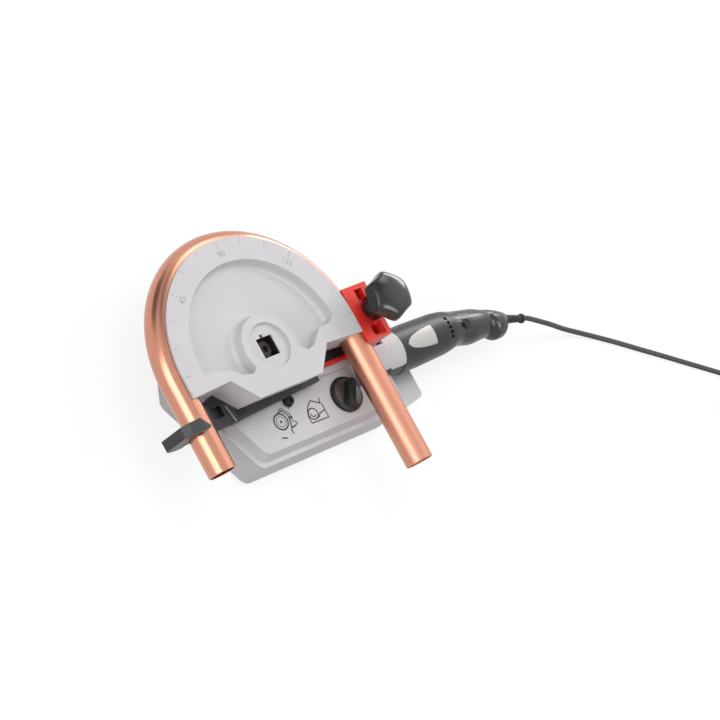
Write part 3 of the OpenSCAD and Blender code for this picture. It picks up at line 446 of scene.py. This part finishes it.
def curve_through(points, steps):
    """A smooth curve through points, with some steps between each two."""
    out = []
    last = len(points) - 1
    for i in range(last):
        a = points[max(i - 1, 0)]
        b = points[i]
        c = points[i + 1]
        d = points[min(i + 2, last)]
        for k in range(steps):
            u = k / steps
            out.append(0.5 * (2 * b + (c - a) * u + (2 * a - 5 * b + 4 * c - d) * u * u
                              + (3 * b - a - 3 * c + d) * u * u * u))
    return out + [points[-1]]


def spoke(angle, r):
    return Vector((r * math.cos(angle), r * math.sin(angle), 0))


def cord_path():
    """Places along the cord: the lead, two layers of coil and a straight tail."""
    leave = RELIEF + relief_along * RELIEF_LEN
    points = [leave - relief_along * LEAD_IN, leave + relief_along * LEAD_OUT] + [Vector(p) for p in ROUTE]
    heading = (points[-1] - points[-2]).normalized()
    inner = COIL_R - PITCH * TURNS / 4
    start = math.atan2(heading.x, -heading.y)
    centre = points[-1] + 2 * CORD_R * heading - spoke(start, inner + PITCH * TURNS / 2)

    def coil(t):
        climb = min(max(2 * (t - TURNS / 2) + 0.5, 0), 1)
        lift = Vector((0, 0, PITCH * climb * climb * (3 - 2 * climb)))
        return centre + spoke(start - 2 * math.pi * t, inner + PITCH * abs(t - TURNS / 2)) + lift

    rings = round(TURN_STEPS * TURNS)
    wound = [coil(TURNS * i / rings) for i in range(rings + 1)]
    onward = (coil(TURNS) - coil(TURNS - HAIR)).normalized()
    return curve_through(points, LEAD_STEPS) + wound + [coil(TURNS) + TAIL * onward]


path = [at(*p) for p in cord_path()]
cord_curve = bpy.data.curves.new("mains_cord", "CURVE")
cord_curve.dimensions = "3D"
cord_curve.bevel_depth = CORD_R * MM
cord_curve.bevel_resolution = 4
spline = cord_curve.splines.new("POLY")
spline.points.add(len(path) - 1)
for point, p in zip(spline.points, path):
    point.co = (*p, 1.0)
spline.use_smooth = True
cord = add_object("mains_cord", cord_curve)
cord_curve.materials.append(MATS["rubber"])
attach(cord, "base")
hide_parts("cord_lead", "cord_coil")

# Camera: fitted to the photograph's pipe and former

CAMERA_AT = (-2266.9, -482.6, 2675.2)
CAMERA_RIGHT = Vector((0.68161, -0.47692, 0.55494))
CAMERA_DOWN = Vector((-0.27972, -0.87064, -0.40466))
CAMERA_FORWARD = Vector((0.67614, 0.12060, -0.72684))
FOCAL_PX = 2922.15
FRAME_PX = 720.0
SENSOR = 36.0
FAR = 50.0
cam = bpy.data.cameras.new("camera")
cam.sensor_width = SENSOR
cam.lens = FOCAL_PX / FRAME_PX * SENSOR
cam.clip_end = FAR
cam_obj = add_object("camera", cam)
cam_turn = Matrix((CAMERA_RIGHT, -CAMERA_DOWN, -CAMERA_FORWARD)).transposed()
cam_obj.matrix_world = Matrix.Translation(at(*CAMERA_AT)) @ cam_turn.to_4x4()
scene.camera = cam_obj

# Copper pipe, with coordinates for its streaks

HOOK_STEPS = 12
BEND_STEPS = 96
FREE_STEPS = 16
PIPE_SIDES = 72
PIPE_EDGE = 0.4


def pipe_line():
    """Middle line of the bent pipe: place, direction away from the former, and length so far."""
    rows = []
    for k in range(HOOK_STEPS):
        rows.append((Vector((-BEND_R, -HOOK_LEG * (1 - k / HOOK_STEPS), PIPE_Z)), Vector((-1, 0, 0))))
    for k in range(BEND_STEPS + 1):
        a = math.pi * (1 - k / BEND_STEPS)
        outward = Vector((math.cos(a), math.sin(a), 0))
        rows.append((outward * BEND_R + Vector((0, 0, PIPE_Z)), outward))
    for k in range(1, FREE_STEPS + 1):
        rows.append((Vector((BEND_R, -FREE_LEG * k / FREE_STEPS, PIPE_Z)), Vector((1, 0, 0))))
    length = 0.0
    line = []
    for i, (p, outward) in enumerate(rows):
        length += (p - rows[i - 1][0]).length if i else 0.0
        line.append((p, outward, length))
    return line


def pipe_mesh():
    """The pipe's outer wall, its far end, its bore and its near end, as one loop of rings."""
    bm = bmesh.new()
    straight = bm.verts.layers.float_vector.new("straight")
    line = pipe_line()
    bore = PIPE_R - PIPE_WALL
    first = line[0]
    last = line[-1]
    inward = Vector((0, PIPE_EDGE, 0))
    after_first = (first[0] + inward, first[1], PIPE_EDGE)
    before_last = (last[0] + inward, last[1], last[2] - PIPE_EDGE)
    walls = [(first, PIPE_R - PIPE_EDGE), (after_first, PIPE_R)]
    walls += [(row, PIPE_R) for row in line[1:-1]]
    walls += [(before_last, PIPE_R), (last, PIPE_R - PIPE_EDGE)]
    walls += [(last, bore + PIPE_EDGE), (before_last, bore)]
    walls += [(row, bore) for row in line[-2:0:-1]]
    walls += [(after_first, bore), (first, bore + PIPE_EDGE)]
    angles = [2 * math.pi * k / PIPE_SIDES for k in range(PIPE_SIDES)]
    rings = [[at(*(p + outward * (r * math.cos(a)) + Vector((0, 0, r * math.sin(a))))) for a in angles]
             for (p, outward, _), r in walls]
    for ring, ((_, _, length), r) in zip(skin(bm, rings, loop=True), walls):
        for vert, a in zip(ring, angles):
            vert[straight] = Vector((length, r * math.cos(a), r * math.sin(a))) * MM
    return bm


pipe = make("bent_pipe", pipe_mesh(), "copper", "former", smooth=30)
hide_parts("copper_pipe")

# Pipe hook: its head round the pipe, a block under the pipe and the long shank

HOOK_IN = -158.1
HOOK_OUT = -178.1
HOOK_BACK = -51.0
HOOK_FRONT = -64.5
HOOK_LOW = 63.0
SHANK_TOP = 72.6
BLOCK_TOP = 75.9
HOOK_TOP = 112.1
ARM_TOP = 119.1
TIP_X = -138.0
BLOCK_X = -121.9
HOOK_EDGE = 0.7
POCKET_DEPTH = 8.0
# The head from the front, in x and z, and its outline in plan
HEAD_FRONT = [(HOOK_IN + 8, HOOK_LOW), (HOOK_OUT + 6, HOOK_LOW), (HOOK_OUT, HOOK_LOW + 6),
              (HOOK_OUT, HOOK_TOP - 1), (HOOK_OUT + 8, ARM_TOP), (-150, ARM_TOP), (TIP_X, HOOK_TOP + 2),
              (TIP_X, HOOK_TOP), (HOOK_IN, HOOK_TOP), (HOOK_IN, BLOCK_TOP), (HOOK_IN + 8, BLOCK_TOP)]
HEAD_PLAN = [(HOOK_OUT - 1, HOOK_BACK), (-152, HOOK_BACK + 1), (TIP_X, -61), (TIP_X, -63.5), (-146, -65.5),
             (-160, -66), (HOOK_OUT - 1, HOOK_FRONT)]
# Ample spans, in y and in z, for the two forms that are cut to each other
HEAD_REACH = (-80.0, -40.0)
PLAN_REACH = (50.0, 130.0)
BLOCK_PLAN = rectangle(HOOK_OUT + 6.2, HOOK_FRONT + 0.2, BLOCK_X + 26, HOOK_BACK)
RISE_PLAN = rectangle(BLOCK_X, -63.2, BLOCK_X + 24, -33)
SHANK_PLAN = [(BLOCK_X + 2, -33.5), (-104, -33.5), (-98, -27), (-72, -20.5), (-58, -24), (-44, -37.5),
              (80, -42), (80, -55), (-50, -62), (-66, -63.4), (BLOCK_X + 2, -63)]
POCKET_PLAN = rectangle(-93.9, -51.4, -77.9, -37)
# Thin faces on the shank: a lighter steel strip that paints the highlight on the block's edge, a black strip
# of painted shadow beside it, a black sheet of painted shade behind the block under the former, and a black
# patch of painted shade below the former's corner
EDGE_HIGHLIGHT_LINE = [(-70.8, -41.0), (-66.4, -62.3)]
EDGE_HIGHLIGHT_WIDTH = 3.2
EDGE_SHADOW_LINE = [(-74.0, -41.0), (-69.4, -62.2)]
EDGE_SHADOW_WIDTH = 2.4
BEHIND_BLOCK_SHADE_PLAN = [(-104, -33.7), (-98, -27.2), (-72, -20.8), (-58, -24.3), (-45, -37), (-58, -38.2), (-76, -36.4),
             (-95, -36.2)]
# A stepped black patch of painted shade on the shank, below the former's corner
SHADE_PATCH_AT = (-52.5, -54.0)
SHADE_PATCH_PLAN = [(-9.5, -5.4), (7.5, -2.4), (6.0, 5.4), (-9.0, 4.6)]
SHADE_PATCH_STEPS = ((1.0, -0.3, 0.15), (0.9, 0.15, 0.3))
FACE_SINK = 0.3


def prism(points, low, high, place=at):
    """A temporary solid with one outline, from one level to another."""
    bm = bmesh.new()
    plate(bm, points, low, high, place)
    bmesh.ops.recalc_face_normals(bm, faces=bm.faces)
    return mesh_object("tool", bm)


def combine(first, *steps):
    """Unions, cuts and intersections in turn, as a bmesh; the temporary solids go."""
    for how, tool in steps:
        mod = first.modifiers.new(how, "BOOLEAN")
        mod.operation = how
        mod.object = tool
        mod.solver = "EXACT"
    bpy.context.view_layer.update()
    evaluated = first.evaluated_get(bpy.context.evaluated_depsgraph_get())
    mesh = bpy.data.meshes.new_from_object(evaluated)
    bm = bmesh.new()
    bm.from_mesh(mesh)
    bpy.data.meshes.remove(mesh)
    for obj in (first, *(tool for _, tool in steps)):
        own = obj.data
        bpy.data.objects.remove(obj)
        bpy.data.meshes.remove(own)
    return bm


def from_front(x, z, y):
    return at(x, y, z)


head = prism(HEAD_FRONT, *HEAD_REACH, from_front)
outline = prism(HEAD_PLAN, *PLAN_REACH)
block = prism(BLOCK_PLAN, HOOK_LOW + 0.1, BLOCK_TOP - 0.1)
rise = prism(RISE_PLAN, HOOK_LOW + 0.2, BLOCK_TOP - 0.2)
shank = prism(SHANK_PLAN, HOOK_LOW, SHANK_TOP)
pocket = prism(POCKET_PLAN, SHANK_TOP - POCKET_DEPTH, SHANK_TOP + POCKET_DEPTH)
bm = combine(head, ("INTERSECT", outline), ("UNION", block), ("UNION", shank), ("UNION", rise),
             ("DIFFERENCE", pocket))
hook = make("hook_grip", bm, SLOTS["pipe_hook"], "hook", smooth=35)
bevel(hook, HOOK_EDGE)
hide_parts("pipe_hook")

# A lighter steel strip along the block's edge: a painted highlight
bm = bmesh.new()
ribbon(bm, EDGE_HIGHLIGHT_LINE, EDGE_HIGHLIGHT_WIDTH, SHANK_TOP - FACE_SINK, SHANK_TOP + 0.25)
make("hook_edge_highlight", bm, SLOTS["pipe_hook"], "hook", mat="highlight_steel", smooth=0)

# Black sheets where the shank lies in shade: a stepped patch and a sheet behind the block of painted shade,
# and a strip of painted shadow beside the highlighted edge
bm = bmesh.new()
for scale, low, high in SHADE_PATCH_STEPS:
    points = [(SHADE_PATCH_AT[0] + u * scale, SHADE_PATCH_AT[1] + v * scale) for u, v in SHADE_PATCH_PLAN]
    plate(bm, points, SHANK_TOP + low, SHANK_TOP + high)
plate(bm, BEHIND_BLOCK_SHADE_PLAN, SHANK_TOP - FACE_SINK, SHANK_TOP + 0.15)
ribbon(bm, EDGE_SHADOW_LINE, EDGE_SHADOW_WIDTH, SHANK_TOP - FACE_SINK, SHANK_TOP + 0.12)
make("hook_painted_shade", bm, "black_matt", "hook", smooth=0)

# Painted shade: a thin dark sheet inside the walls of the former's square socket, and a dark block filling
# its notch

SOCKET = 12.63
SOCKET_TOP = 108.2
SOCKET_LOW = 90.0
SOCKET_SHADE_SHEET = 0.3
NOTCH_PLAN = rectangle(-4.9, SOCKET, -0.1, 16.4)
NOTCH_TOP = SOCKET_TOP - 0.4


def square(half, z):
    return [at(x, y, z) for x, y in rectangle(-half, -half, half, half)]


# Dark sheets where the socket and its notch lie in shade: painted shade
bm = bmesh.new()
skin(bm, [square(SOCKET, SOCKET_LOW), square(SOCKET, SOCKET_TOP), square(SOCKET - SOCKET_SHADE_SHEET, SOCKET_TOP),
          square(SOCKET - SOCKET_SHADE_SHEET, SOCKET_LOW)], loop=True)
plate(bm, NOTCH_PLAN, SOCKET_LOW, NOTCH_TOP)
make("socket_painted_shade", bm, "cast_grey", "former", mat="dark_socket", smooth=0)

# Degree scale on the former's rim: a line for each 15 degrees, a longer one and figures for each 45

RIM_R = 142.0
TICK_TURN = 15
FIGURES_TURN = 45
TICK_OUT = RIM_R - 2.2
LONG_TICK = 13.0
SHORT_TICK = 10.0
TICK_WIDTH = 0.95
FIGURES_R = 123.0
FIGURES_SIZE = 11.0
INK_SINK = 0.3
INK_RISE = 0.06
bm = bmesh.new()
for degrees in range(0, 181, TICK_TURN):
    a = math.radians(degrees)
    tick_in = RIM_R - (SHORT_TICK if degrees % FIGURES_TURN else LONG_TICK)
    ribbon(bm, [(r * math.cos(a), r * math.sin(a)) for r in (tick_in, TICK_OUT)], TICK_WIDTH,
           FORMER_TOP - INK_SINK, FORMER_TOP + INK_RISE)
for degrees in range(FIGURES_TURN, 180, FIGURES_TURN):
    a = math.radians(degrees)
    numeral(bm, str(180 - degrees), FIGURES_R * math.cos(a), FIGURES_R * math.sin(a), FORMER_TOP,
            a - math.pi / 2, FIGURES_SIZE)
make("former_scale", bm, "cast_grey", "former", mat="ink_grey", smooth=0)

# Star knob: a round neck and a domed head with six soft lobes

STAR_TOP = 52.0
STAR_TURN = 20.0
STAR_R = 32.0
LOBE = 60.0
SCALLOP_R = 60.0
SCALLOP_DEPTH = 5.0
LOBE_BLEND = 1.3
STAR_SIDES = 120
STAR_PROFILE = [(5.2, 0), (14.2, 0), (15.5, 0.8), (16, 3), (15.6, 12), (14.6, 20), (14.2, 23), (15.4, 25.4),
                (18.5, 27.4), (23, 28.6), (27.5, 29.2), (29.6, 29.9), (31, 31.2), (31.8, 33), (STAR_R, 35.5),
                (STAR_R, 38.2), (31.6, 40.6), (30.7, 42.8), (29.2, 44.8), (26.8, 46.7), (23.2, 48.5),
                (18.4, 50), (12.6, 51.2), (6.4, STAR_TOP - 0.2), (2, STAR_TOP)]


def star_radius(r, h, a):
    """The lesser of the profile and a scalloped outline, with a soft change between them."""
    off = math.radians((math.degrees(a) - STAR_TURN) % LOBE - LOBE / 2)
    far = STAR_R + SCALLOP_R - SCALLOP_DEPTH
    scallop = far * math.cos(off) - math.sqrt(SCALLOP_R ** 2 - (far * math.sin(off)) ** 2)
    return -LOBE_BLEND * math.log(math.exp(-scallop / LOBE_BLEND) + math.exp(-r / LOBE_BLEND))


bm = bmesh.new()
lathe(bm, STAR_PROFILE, upright(*STAR), STAR_SIDES, star_radius)
star = make("star_grip", bm, "black_plastic", "star", smooth=50)
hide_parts("star_knob")

# Dial: fluted skirt, glossy face and a finger bar with a pointer line

DIAL_R = 23.2
DIAL_H = 17.0
DIAL_FACE = 6.0
DIAL_BORE = 3.1
DIAL_TURN = math.radians(55)
FLUTES = 36
FLUTE_DEPTH = 0.35
FLUTE_LOW = 0.5
FLUTE_HIGH = 4.0
SKIRT_PROFILE = [(DIAL_BORE, 0), (DIAL_R - 0.6, 0), (DIAL_R, 0.7), (DIAL_R, 3.2), (DIAL_R - 0.8, 4.6),
                 (DIAL_R - 2.2, 5.6), (DIAL_R - 3.4, DIAL_FACE), (DIAL_R - 3.8, DIAL_FACE - 0.5),
                 (DIAL_BORE, DIAL_FACE - 0.5)]
FACE_PROFILE = [(DIAL_BORE, DIAL_FACE - 0.9), (DIAL_R - 3.9, DIAL_FACE - 0.9),
                (DIAL_R - 3.9, DIAL_FACE - 0.15), (DIAL_R - 4.3, DIAL_FACE), (DIAL_BORE, DIAL_FACE)]
# Length, width and height of the finger bar's outline, from its foot to its top
BAR_STEPS = ((37, 12, DIAL_FACE - 0.6), (36.6, 11.6, DIAL_FACE + 0.4), (35.4, 10.8, 12), (34.2, 10.2, 15.6),
             (33, 9.0, 16.7), (31.6, 7.6, DIAL_H))
POINTER = (3.0, 14.0)
POINTER_WIDTH = 1.2


def dial_radius(r, h, a):
    """Flutes round the skirt, and a plain edge above and below them."""
    if FLUTE_LOW < h < FLUTE_HIGH:
        return r - FLUTE_DEPTH * (1 + math.cos(FLUTES * a))
    return r


def stadium(length, width, steps=12):
    """Points of a bar with round ends, in plan."""
    points = []
    for middle, start in ((length / 2 - width / 2, -90), (-length / 2 + width / 2, 90)):
        points += arc((middle, 0.0), width / 2, start, start + 180, steps)
    return points


def on_bar(u, v, h):
    c = math.cos(DIAL_TURN)
    s = math.sin(DIAL_TURN)
    return upright(*DIAL)(u * c - v * s, u * s + v * c, h)


bm = bmesh.new()
lathe(bm, SKIRT_PROFILE, upright(*DIAL), 4 * FLUTES, dial_radius)
dial = make("dial_skirt", bm, "black_matt", "dial", smooth=40)
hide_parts("dial_knob")

bm = bmesh.new()
lathe(bm, FACE_PROFILE, upright(*DIAL), 96)
make("dial_plate", bm, "black_matt", "dial", mat="dial_face", smooth=40)

bm = bmesh.new()
skin(bm, [[on_bar(u, v, h) for u, v in stadium(length, width)] for length, width, h in BAR_STEPS])
make("dial_bar", bm, "black_matt", "dial", smooth=40)

bm = bmesh.new()
ribbon(bm, [(DIAL[0] + r * math.cos(DIAL_TURN), DIAL[1] + r * math.sin(DIAL_TURN)) for r in POINTER],
       POINTER_WIDTH, DIAL[2] + DIAL_H - 0.4, DIAL[2] + DIAL_H + INK_RISE)
make("dial_pointer", bm, "black_matt", "dial", mat="ink_black", smooth=0)

# Strain relief: a collar, rings that let it bend, and a round lip

RINGS = 5
RINGS_FROM = 8.0
RING_STEP = 3.6
RING_R = 5.6
RING_TAPER = 0.15
RING_DEPTH = 0.45
COLLAR = [(2.0, -13.4), (5.3, -13.4), (5.4, 2.6), (6.2, 3.2), (6.3, 5.0), (5.7, 6.0)]
LIP = [(4.9, 27.0), (5.0, 29.0), (6.3, 29.6), (6.5, 31.0), (6.2, 32.8), (5.2, 33.6), (4.8, RELIEF_LEN),
       (3.8, RELIEF_LEN), (3.8, RELIEF_LEN - 4.0), (1.0, RELIEF_LEN - 4.0)]


def on_relief(u, v, h):
    return at(*(RELIEF + relief_along * h + relief_side * u + Vector((0, 0, v))))


rings = []
for k in range(RINGS):
    h = RINGS_FROM + RING_STEP * k
    r = RING_R - RING_TAPER * k
    rings += [(r, h), (r - RING_DEPTH, h + 0.5), (r - RING_DEPTH, h + 1.1), (r - 0.05, h + 1.6)]
bm = bmesh.new()
lathe(bm, COLLAR + rings + LIP, on_relief, 48)
relief = make("cord_sleeve", bm, "black_matt", "base", smooth=40)
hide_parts("strain_relief")

# Plug: a ribbed sleeve that widens to a flat body

PLUG_LEN = 52.0
PLUG_W = 18.0
PLUG_H = 10.65
RIBS = 5
RIB_STEP = 3.0
RIB_R = 4.5
RIB_GROWTH = 0.38
# Distance along one rib, and how much wider it is there
RIB_PROFILE = ((0.4, 0.0), (1.9, 0.1), (2.2, -0.7), (3.1, -0.6))
plug_at = path[-1] / MM
plug_along = (path[-1] - path[-2]).normalized()
plug_side = Vector((-plug_along.y, plug_along.x, 0))


def plug_ring(h, half_width, half_height, power, steps=64):
    """An outline across the plug: round at power 2, squarer above it."""
    ring = []
    for k in range(steps):
        c = math.cos(2 * math.pi * k / steps)
        s = math.sin(2 * math.pi * k / steps)
        u = half_width * math.copysign(abs(c) ** (2 / power), c)
        z = half_height * math.copysign(abs(s) ** (2 / power), s)
        ring.append((plug_at + plug_along * h + plug_side * u + Vector((0, 0, z))) * MM)
    return ring


# Distance along the plug, half its width and height there, and how square it is
PLUG_BODY = [(16, 6.4, 6.4, 2), (20, 8.0, 7.2, 2.2), (25, 12.2, 9.2, 2.7), (29, 16.0, 10.3, 3.4),
             (32.5, 17.6, PLUG_H - 0.1, 4.0), (38, PLUG_W - 0.6, PLUG_H - 0.2, 4.4),
             (44, PLUG_W, PLUG_H, 4.6), (49.6, PLUG_W, PLUG_H, 4.6),
             (51.2, PLUG_W - 0.5, PLUG_H - 0.5, 4.6), (PLUG_LEN, PLUG_W - 1.5, PLUG_H - 1.5, 4.6)]
stations = [(0, 3.9, 3.9, 2)]
for k in range(RIBS):
    for along, more in RIB_PROFILE:
        r = RIB_R + RIB_GROWTH * k + more
        stations.append((RIB_STEP * k + along, r, r, 2))
bm = bmesh.new()
skin(bm, [plug_ring(*row) for row in stations + PLUG_BODY])
plug = make("plug_body", bm, SLOTS["mains_plug"], "base", smooth=45)
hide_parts("mains_plug")

# Saddle: a skin over the housing's hump, flush with the cap, and the motor's dark nose below its edge

HUMP_R = 31.0
CAP_R = 32.2
NOSE_END = 203.05
SHELL_STEPS = 24
SHELL_EDGE = 0.3


def shell(name, slot, x, angles, radii):
    """A curved plate round the motor's axis, between two places, two angles and two radii."""
    bm = bmesh.new()
    corners = [(x[0], radii[0]), (x[1], radii[0]), (x[1], radii[1]), (x[0], radii[1])]
    rings = []
    for k in range(SHELL_STEPS + 1):
        a = math.radians(angles[0] + (angles[1] - angles[0]) * k / SHELL_STEPS)
        rings.append([at(u, MOTOR_Y + r * math.cos(a), AXIS_Z + r * math.sin(a)) for u, r in corners])
    skin(bm, rings)
    bevel(make(name, bm, slot, "base", smooth=40), SHELL_EDGE)


shell("saddle_skin", "cast_grey", (150.0, NOSE_END), (72.0, 133.0), (HUMP_R - 0.3, CAP_R))
shell("nose_band", "dark_plastic", (170.0, NOSE_END), (132.0, 154.0), (HUMP_R - 0.3, HUMP_R + 0.3))

# Pictograms on the panel: a former with its pipe, and a bent piece with a disc

INK_LOW = PANEL_Z - 0.2
INK_HIGH = PANEL_Z + INK_RISE
WHEEL = (9.0, -80.9)
DOT = (29.5, -69.1)
DISC = (60.3, -87.0)
# Centre, radius, steps and line width of each full circle
SIGN_CIRCLES = ((WHEEL, 10.2, 40, 2.3), (WHEEL, 6.6, 28, 0.9), (WHEEL, 1.1, 12, 1.6), (DOT, 0.6, 12, 1.1),
                (DISC, 7.2, 32, 1.8))
# Points and line width of each open line
SIGN_LINES = (
    ([(10.6, -69.4), (17.8, -68.6), (23.6, -76.4), (22.0, -86.4), (17.6, -96.5), (18.7, -99.5)], 1.95),
    ([(13.0, -66.5), (19.5, -66.0), (27.2, -76.0), (26.0, -85.0), (31.5, -89.4), (26.5, -92.0)], 1.3),
    ([(23.6, -80.0), (28.5, -80.5)], 2.86),
    ([(20.5, -92.5), (27.0, -91.5)], 2.08),
    ([(-1.8, -99.4), (6.4, -102.2)], 2.08),
    ([(80.5, -71.2), (78.3, -78.2), (66.0, -70.7), (58.4, -76.0), (54.2, -81.5), (51.6, -88.5), (51.8, -97.1),
      (80.1, -97.9), (80.5, -78.6)], 1.6),
    (arc(DISC, 3.6, 150, 330, 16), 1.5),
    ([(80.0, -87.7), (71.0, -89.2), (65.0, -94.2)], 1.6))
bm = bmesh.new()
for centre, r, steps, width in SIGN_CIRCLES:
    ribbon(bm, arc(centre, r, steps=steps), width, INK_LOW, INK_HIGH, True)
for line, width in SIGN_LINES:
    ribbon(bm, line, width, INK_LOW, INK_HIGH)
make("panel_signs", bm, "cast_grey", "base", mat="ink_black", smooth=0)

# Stop screw on the panel, in front of the hook's shank

KNURLS = 16
KNURL_DEPTH = 0.3
KNURL_LOW = 2.8
KNURL_HIGH = 5.9
SCREW_PROFILE = [(7.4, -0.3), (7.4, 0.9), (6.9, 1.4), (5.2, 1.6), (5.2, 2.6), (6.2, 3.0), (6.4, 5.6),
                 (5.8, 6.4), (3.4, 6.6), (3.0, 4.2), (0.6, 4.0)]


def screw_radius(r, h, a):
    """Knurls round the screw's head."""
    if KNURL_LOW < h < KNURL_HIGH:
        return r - KNURL_DEPTH * (1 + math.cos(KNURLS * a))
    return r


bm = bmesh.new()
lathe(bm, SCREW_PROFILE, upright(*STOP_SCREW), 3 * KNURLS, screw_radius)
make("stop_screw", bm, "black_matt", "base", smooth=40)

# Rounded edges on the solids that stay, in millimetres

ROUNDED = {
    "base_housing": 1.6,
    "bending_former": 2.4,
    "saddle_cap": 0.4,
    "slide_carriage": 2.0,
    # The guide rail is a black plate under the carriage whose dark material paints the shade under the former
    "guide_rail": 0.5,
    "switch_trigger": 1.0,
    "direction_lever": 0.5,
    "rubber_feet": 0.8,
    "saddle_screws": 0.4,
}
for node_name, width in ROUNDED.items():
    soften(NODES[node_name], width)

# Floor: pale for light that bounces, near white where a camera, glossy or transmission ray looks

BOUNCE = (0.42, 0.42, 0.42, 1)
SEEN = (0.20, 0.20, 0.20, 1)
GLOW = 0.82
FLOOR_SIZE = 6.0
FLOOR_DROP = 0.0004


def floor_material():
    mat, tree, bsdf = shader("floor")
    bsdf.inputs["Base Color"].default_value = BOUNCE
    bsdf.inputs["Roughness"].default_value = 0.9
    bsdf.inputs["Specular IOR Level"].default_value = 0.0
    seen = tree.nodes.new("ShaderNodeBsdfDiffuse")
    seen.inputs["Color"].default_value = SEEN
    glow = tree.nodes.new("ShaderNodeEmission")
    glow.inputs["Strength"].default_value = GLOW
    white = tree.nodes.new("ShaderNodeAddShader")
    link(tree, seen.outputs[0], white.inputs[0])
    link(tree, glow.outputs[0], white.inputs[1])
    rays = tree.nodes.new("ShaderNodeLightPath").outputs
    looks = maths(tree, "MAXIMUM", rays["Is Camera Ray"], rays["Is Glossy Ray"])
    looks = maths(tree, "MAXIMUM", looks, rays["Is Transmission Ray"])
    surface = mix_shader(tree, looks, bsdf.outputs[0], white.outputs[0])
    link(tree, surface, tree.nodes["Material Output"].inputs["Surface"])
    return mat


bm = bmesh.new()
bmesh.ops.create_grid(bm, x_segments=4, y_segments=4, size=FLOOR_SIZE)
floor = mesh_object("floor", bm)
floor.data.materials.append(floor_material())
floor.location = (0, 0, -FLOOR_DROP)

# World: white to the camera, a soft sky for light, and for gloss a white room with lighter and darker places

SKY = 0.42
ROOM = 1.0
# Direction, angles where a place is full and ends, and how much lighter or darker it is
ROOM_PLACES = (
    ((-0.87, 0.12, 0.47), 4, 26, 2.7),
    ((-0.66, 0.27, 0.70), 4, 15, 2.2),
    ((0.0, -0.57, 0.82), 12, 24, 6.5),
    ((0.70, 0.05, 0.71), 8, 29, 0.55),
    ((-0.22, 0.94, 0.27), 8, 29, -0.75),
    ((0.22, 0.58, 0.78), 6, 24, -0.55),
    ((0.555, 0.574, 0.602), 5, 13.5, 2.9),
    ((0.48, 0.74, 0.47), 4, 13, 0.4),
)
world = bpy.data.worlds.new("world")
scene.world = world
world.use_nodes = True
sky = world.node_tree
direction = sky.nodes.new("ShaderNodeTexCoord").outputs["Generated"]


def backdrop(strength):
    node = sky.nodes.new("ShaderNodeBackground")
    node.inputs["Color"].default_value = (1, 1, 1, 1)
    if isinstance(strength, float):
        node.inputs["Strength"].default_value = strength
    else:
        link(sky, strength, node.inputs["Strength"])
    return node.outputs[0]


def room_place(axis, inner, outer, gain):
    """A soft round place round a direction, between two angles."""
    dot = sky.nodes.new("ShaderNodeVectorMath")
    dot.operation = "DOT_PRODUCT"
    link(sky, direction, dot.inputs[0])
    dot.inputs[1].default_value = Vector(axis).normalized()
    edge = math.cos(math.radians(outer))
    full = math.cos(math.radians(inner))
    return between(sky, dot.outputs["Value"], edge, full, 0.0, gain, smooth=True)


room = ROOM
for row in ROOM_PLACES:
    room = maths(sky, "ADD", room_place(*row), room)
sky_rays = sky.nodes.new("ShaderNodeLightPath").outputs
shiny = maths(sky, "MAXIMUM", sky_rays["Is Glossy Ray"], sky_rays["Is Transmission Ray"])
lit = mix_shader(sky, shiny, backdrop(SKY), backdrop(room))
seen = mix_shader(sky, sky_rays["Is Camera Ray"], lit, backdrop(1.0))
link(sky, seen, sky.nodes["World Output"].inputs["Surface"])

# Lamps: three that only light, and a soft box by the handle that only gloss sees

AIM = Vector((0, 0, 0.05))
SHEEN_WAY = Vector((0.676, 0.62, 0.40))
SHEEN_FAR = 0.6


def lamp(name, place, aim, size, power, gloss=False):
    data = bpy.data.lights.new(name, "AREA")
    data.shape = "RECTANGLE"
    data.size = size[0]
    data.size_y = size[1]
    data.energy = power
    obj = add_object(name, data)
    obj.location = place
    obj.rotation_euler = (aim - Vector(place)).to_track_quat("-Z", "Y").to_euler()
    obj.visible_camera = False
    obj.visible_glossy = gloss
    obj.visible_diffuse = not gloss


lamp("key", (-0.4, 0.7, 2.6), AIM, (2.2, 1.8), 31)
lamp("left", (-2.4, -0.4, 1.1), AIM, (1.6, 1.0), 18)
lamp("right", (1.9, 0.1, 2.0), AIM + Vector((0.05, 0, 0)), (1.2, 1.0), 16)
lamp("grip sheen", at(*GRIP) + SHEEN_FAR * SHEEN_WAY, at(*GRIP), (0.5, 0.22), 2.6, gloss=True)

scene.view_settings.view_transform = "Standard"
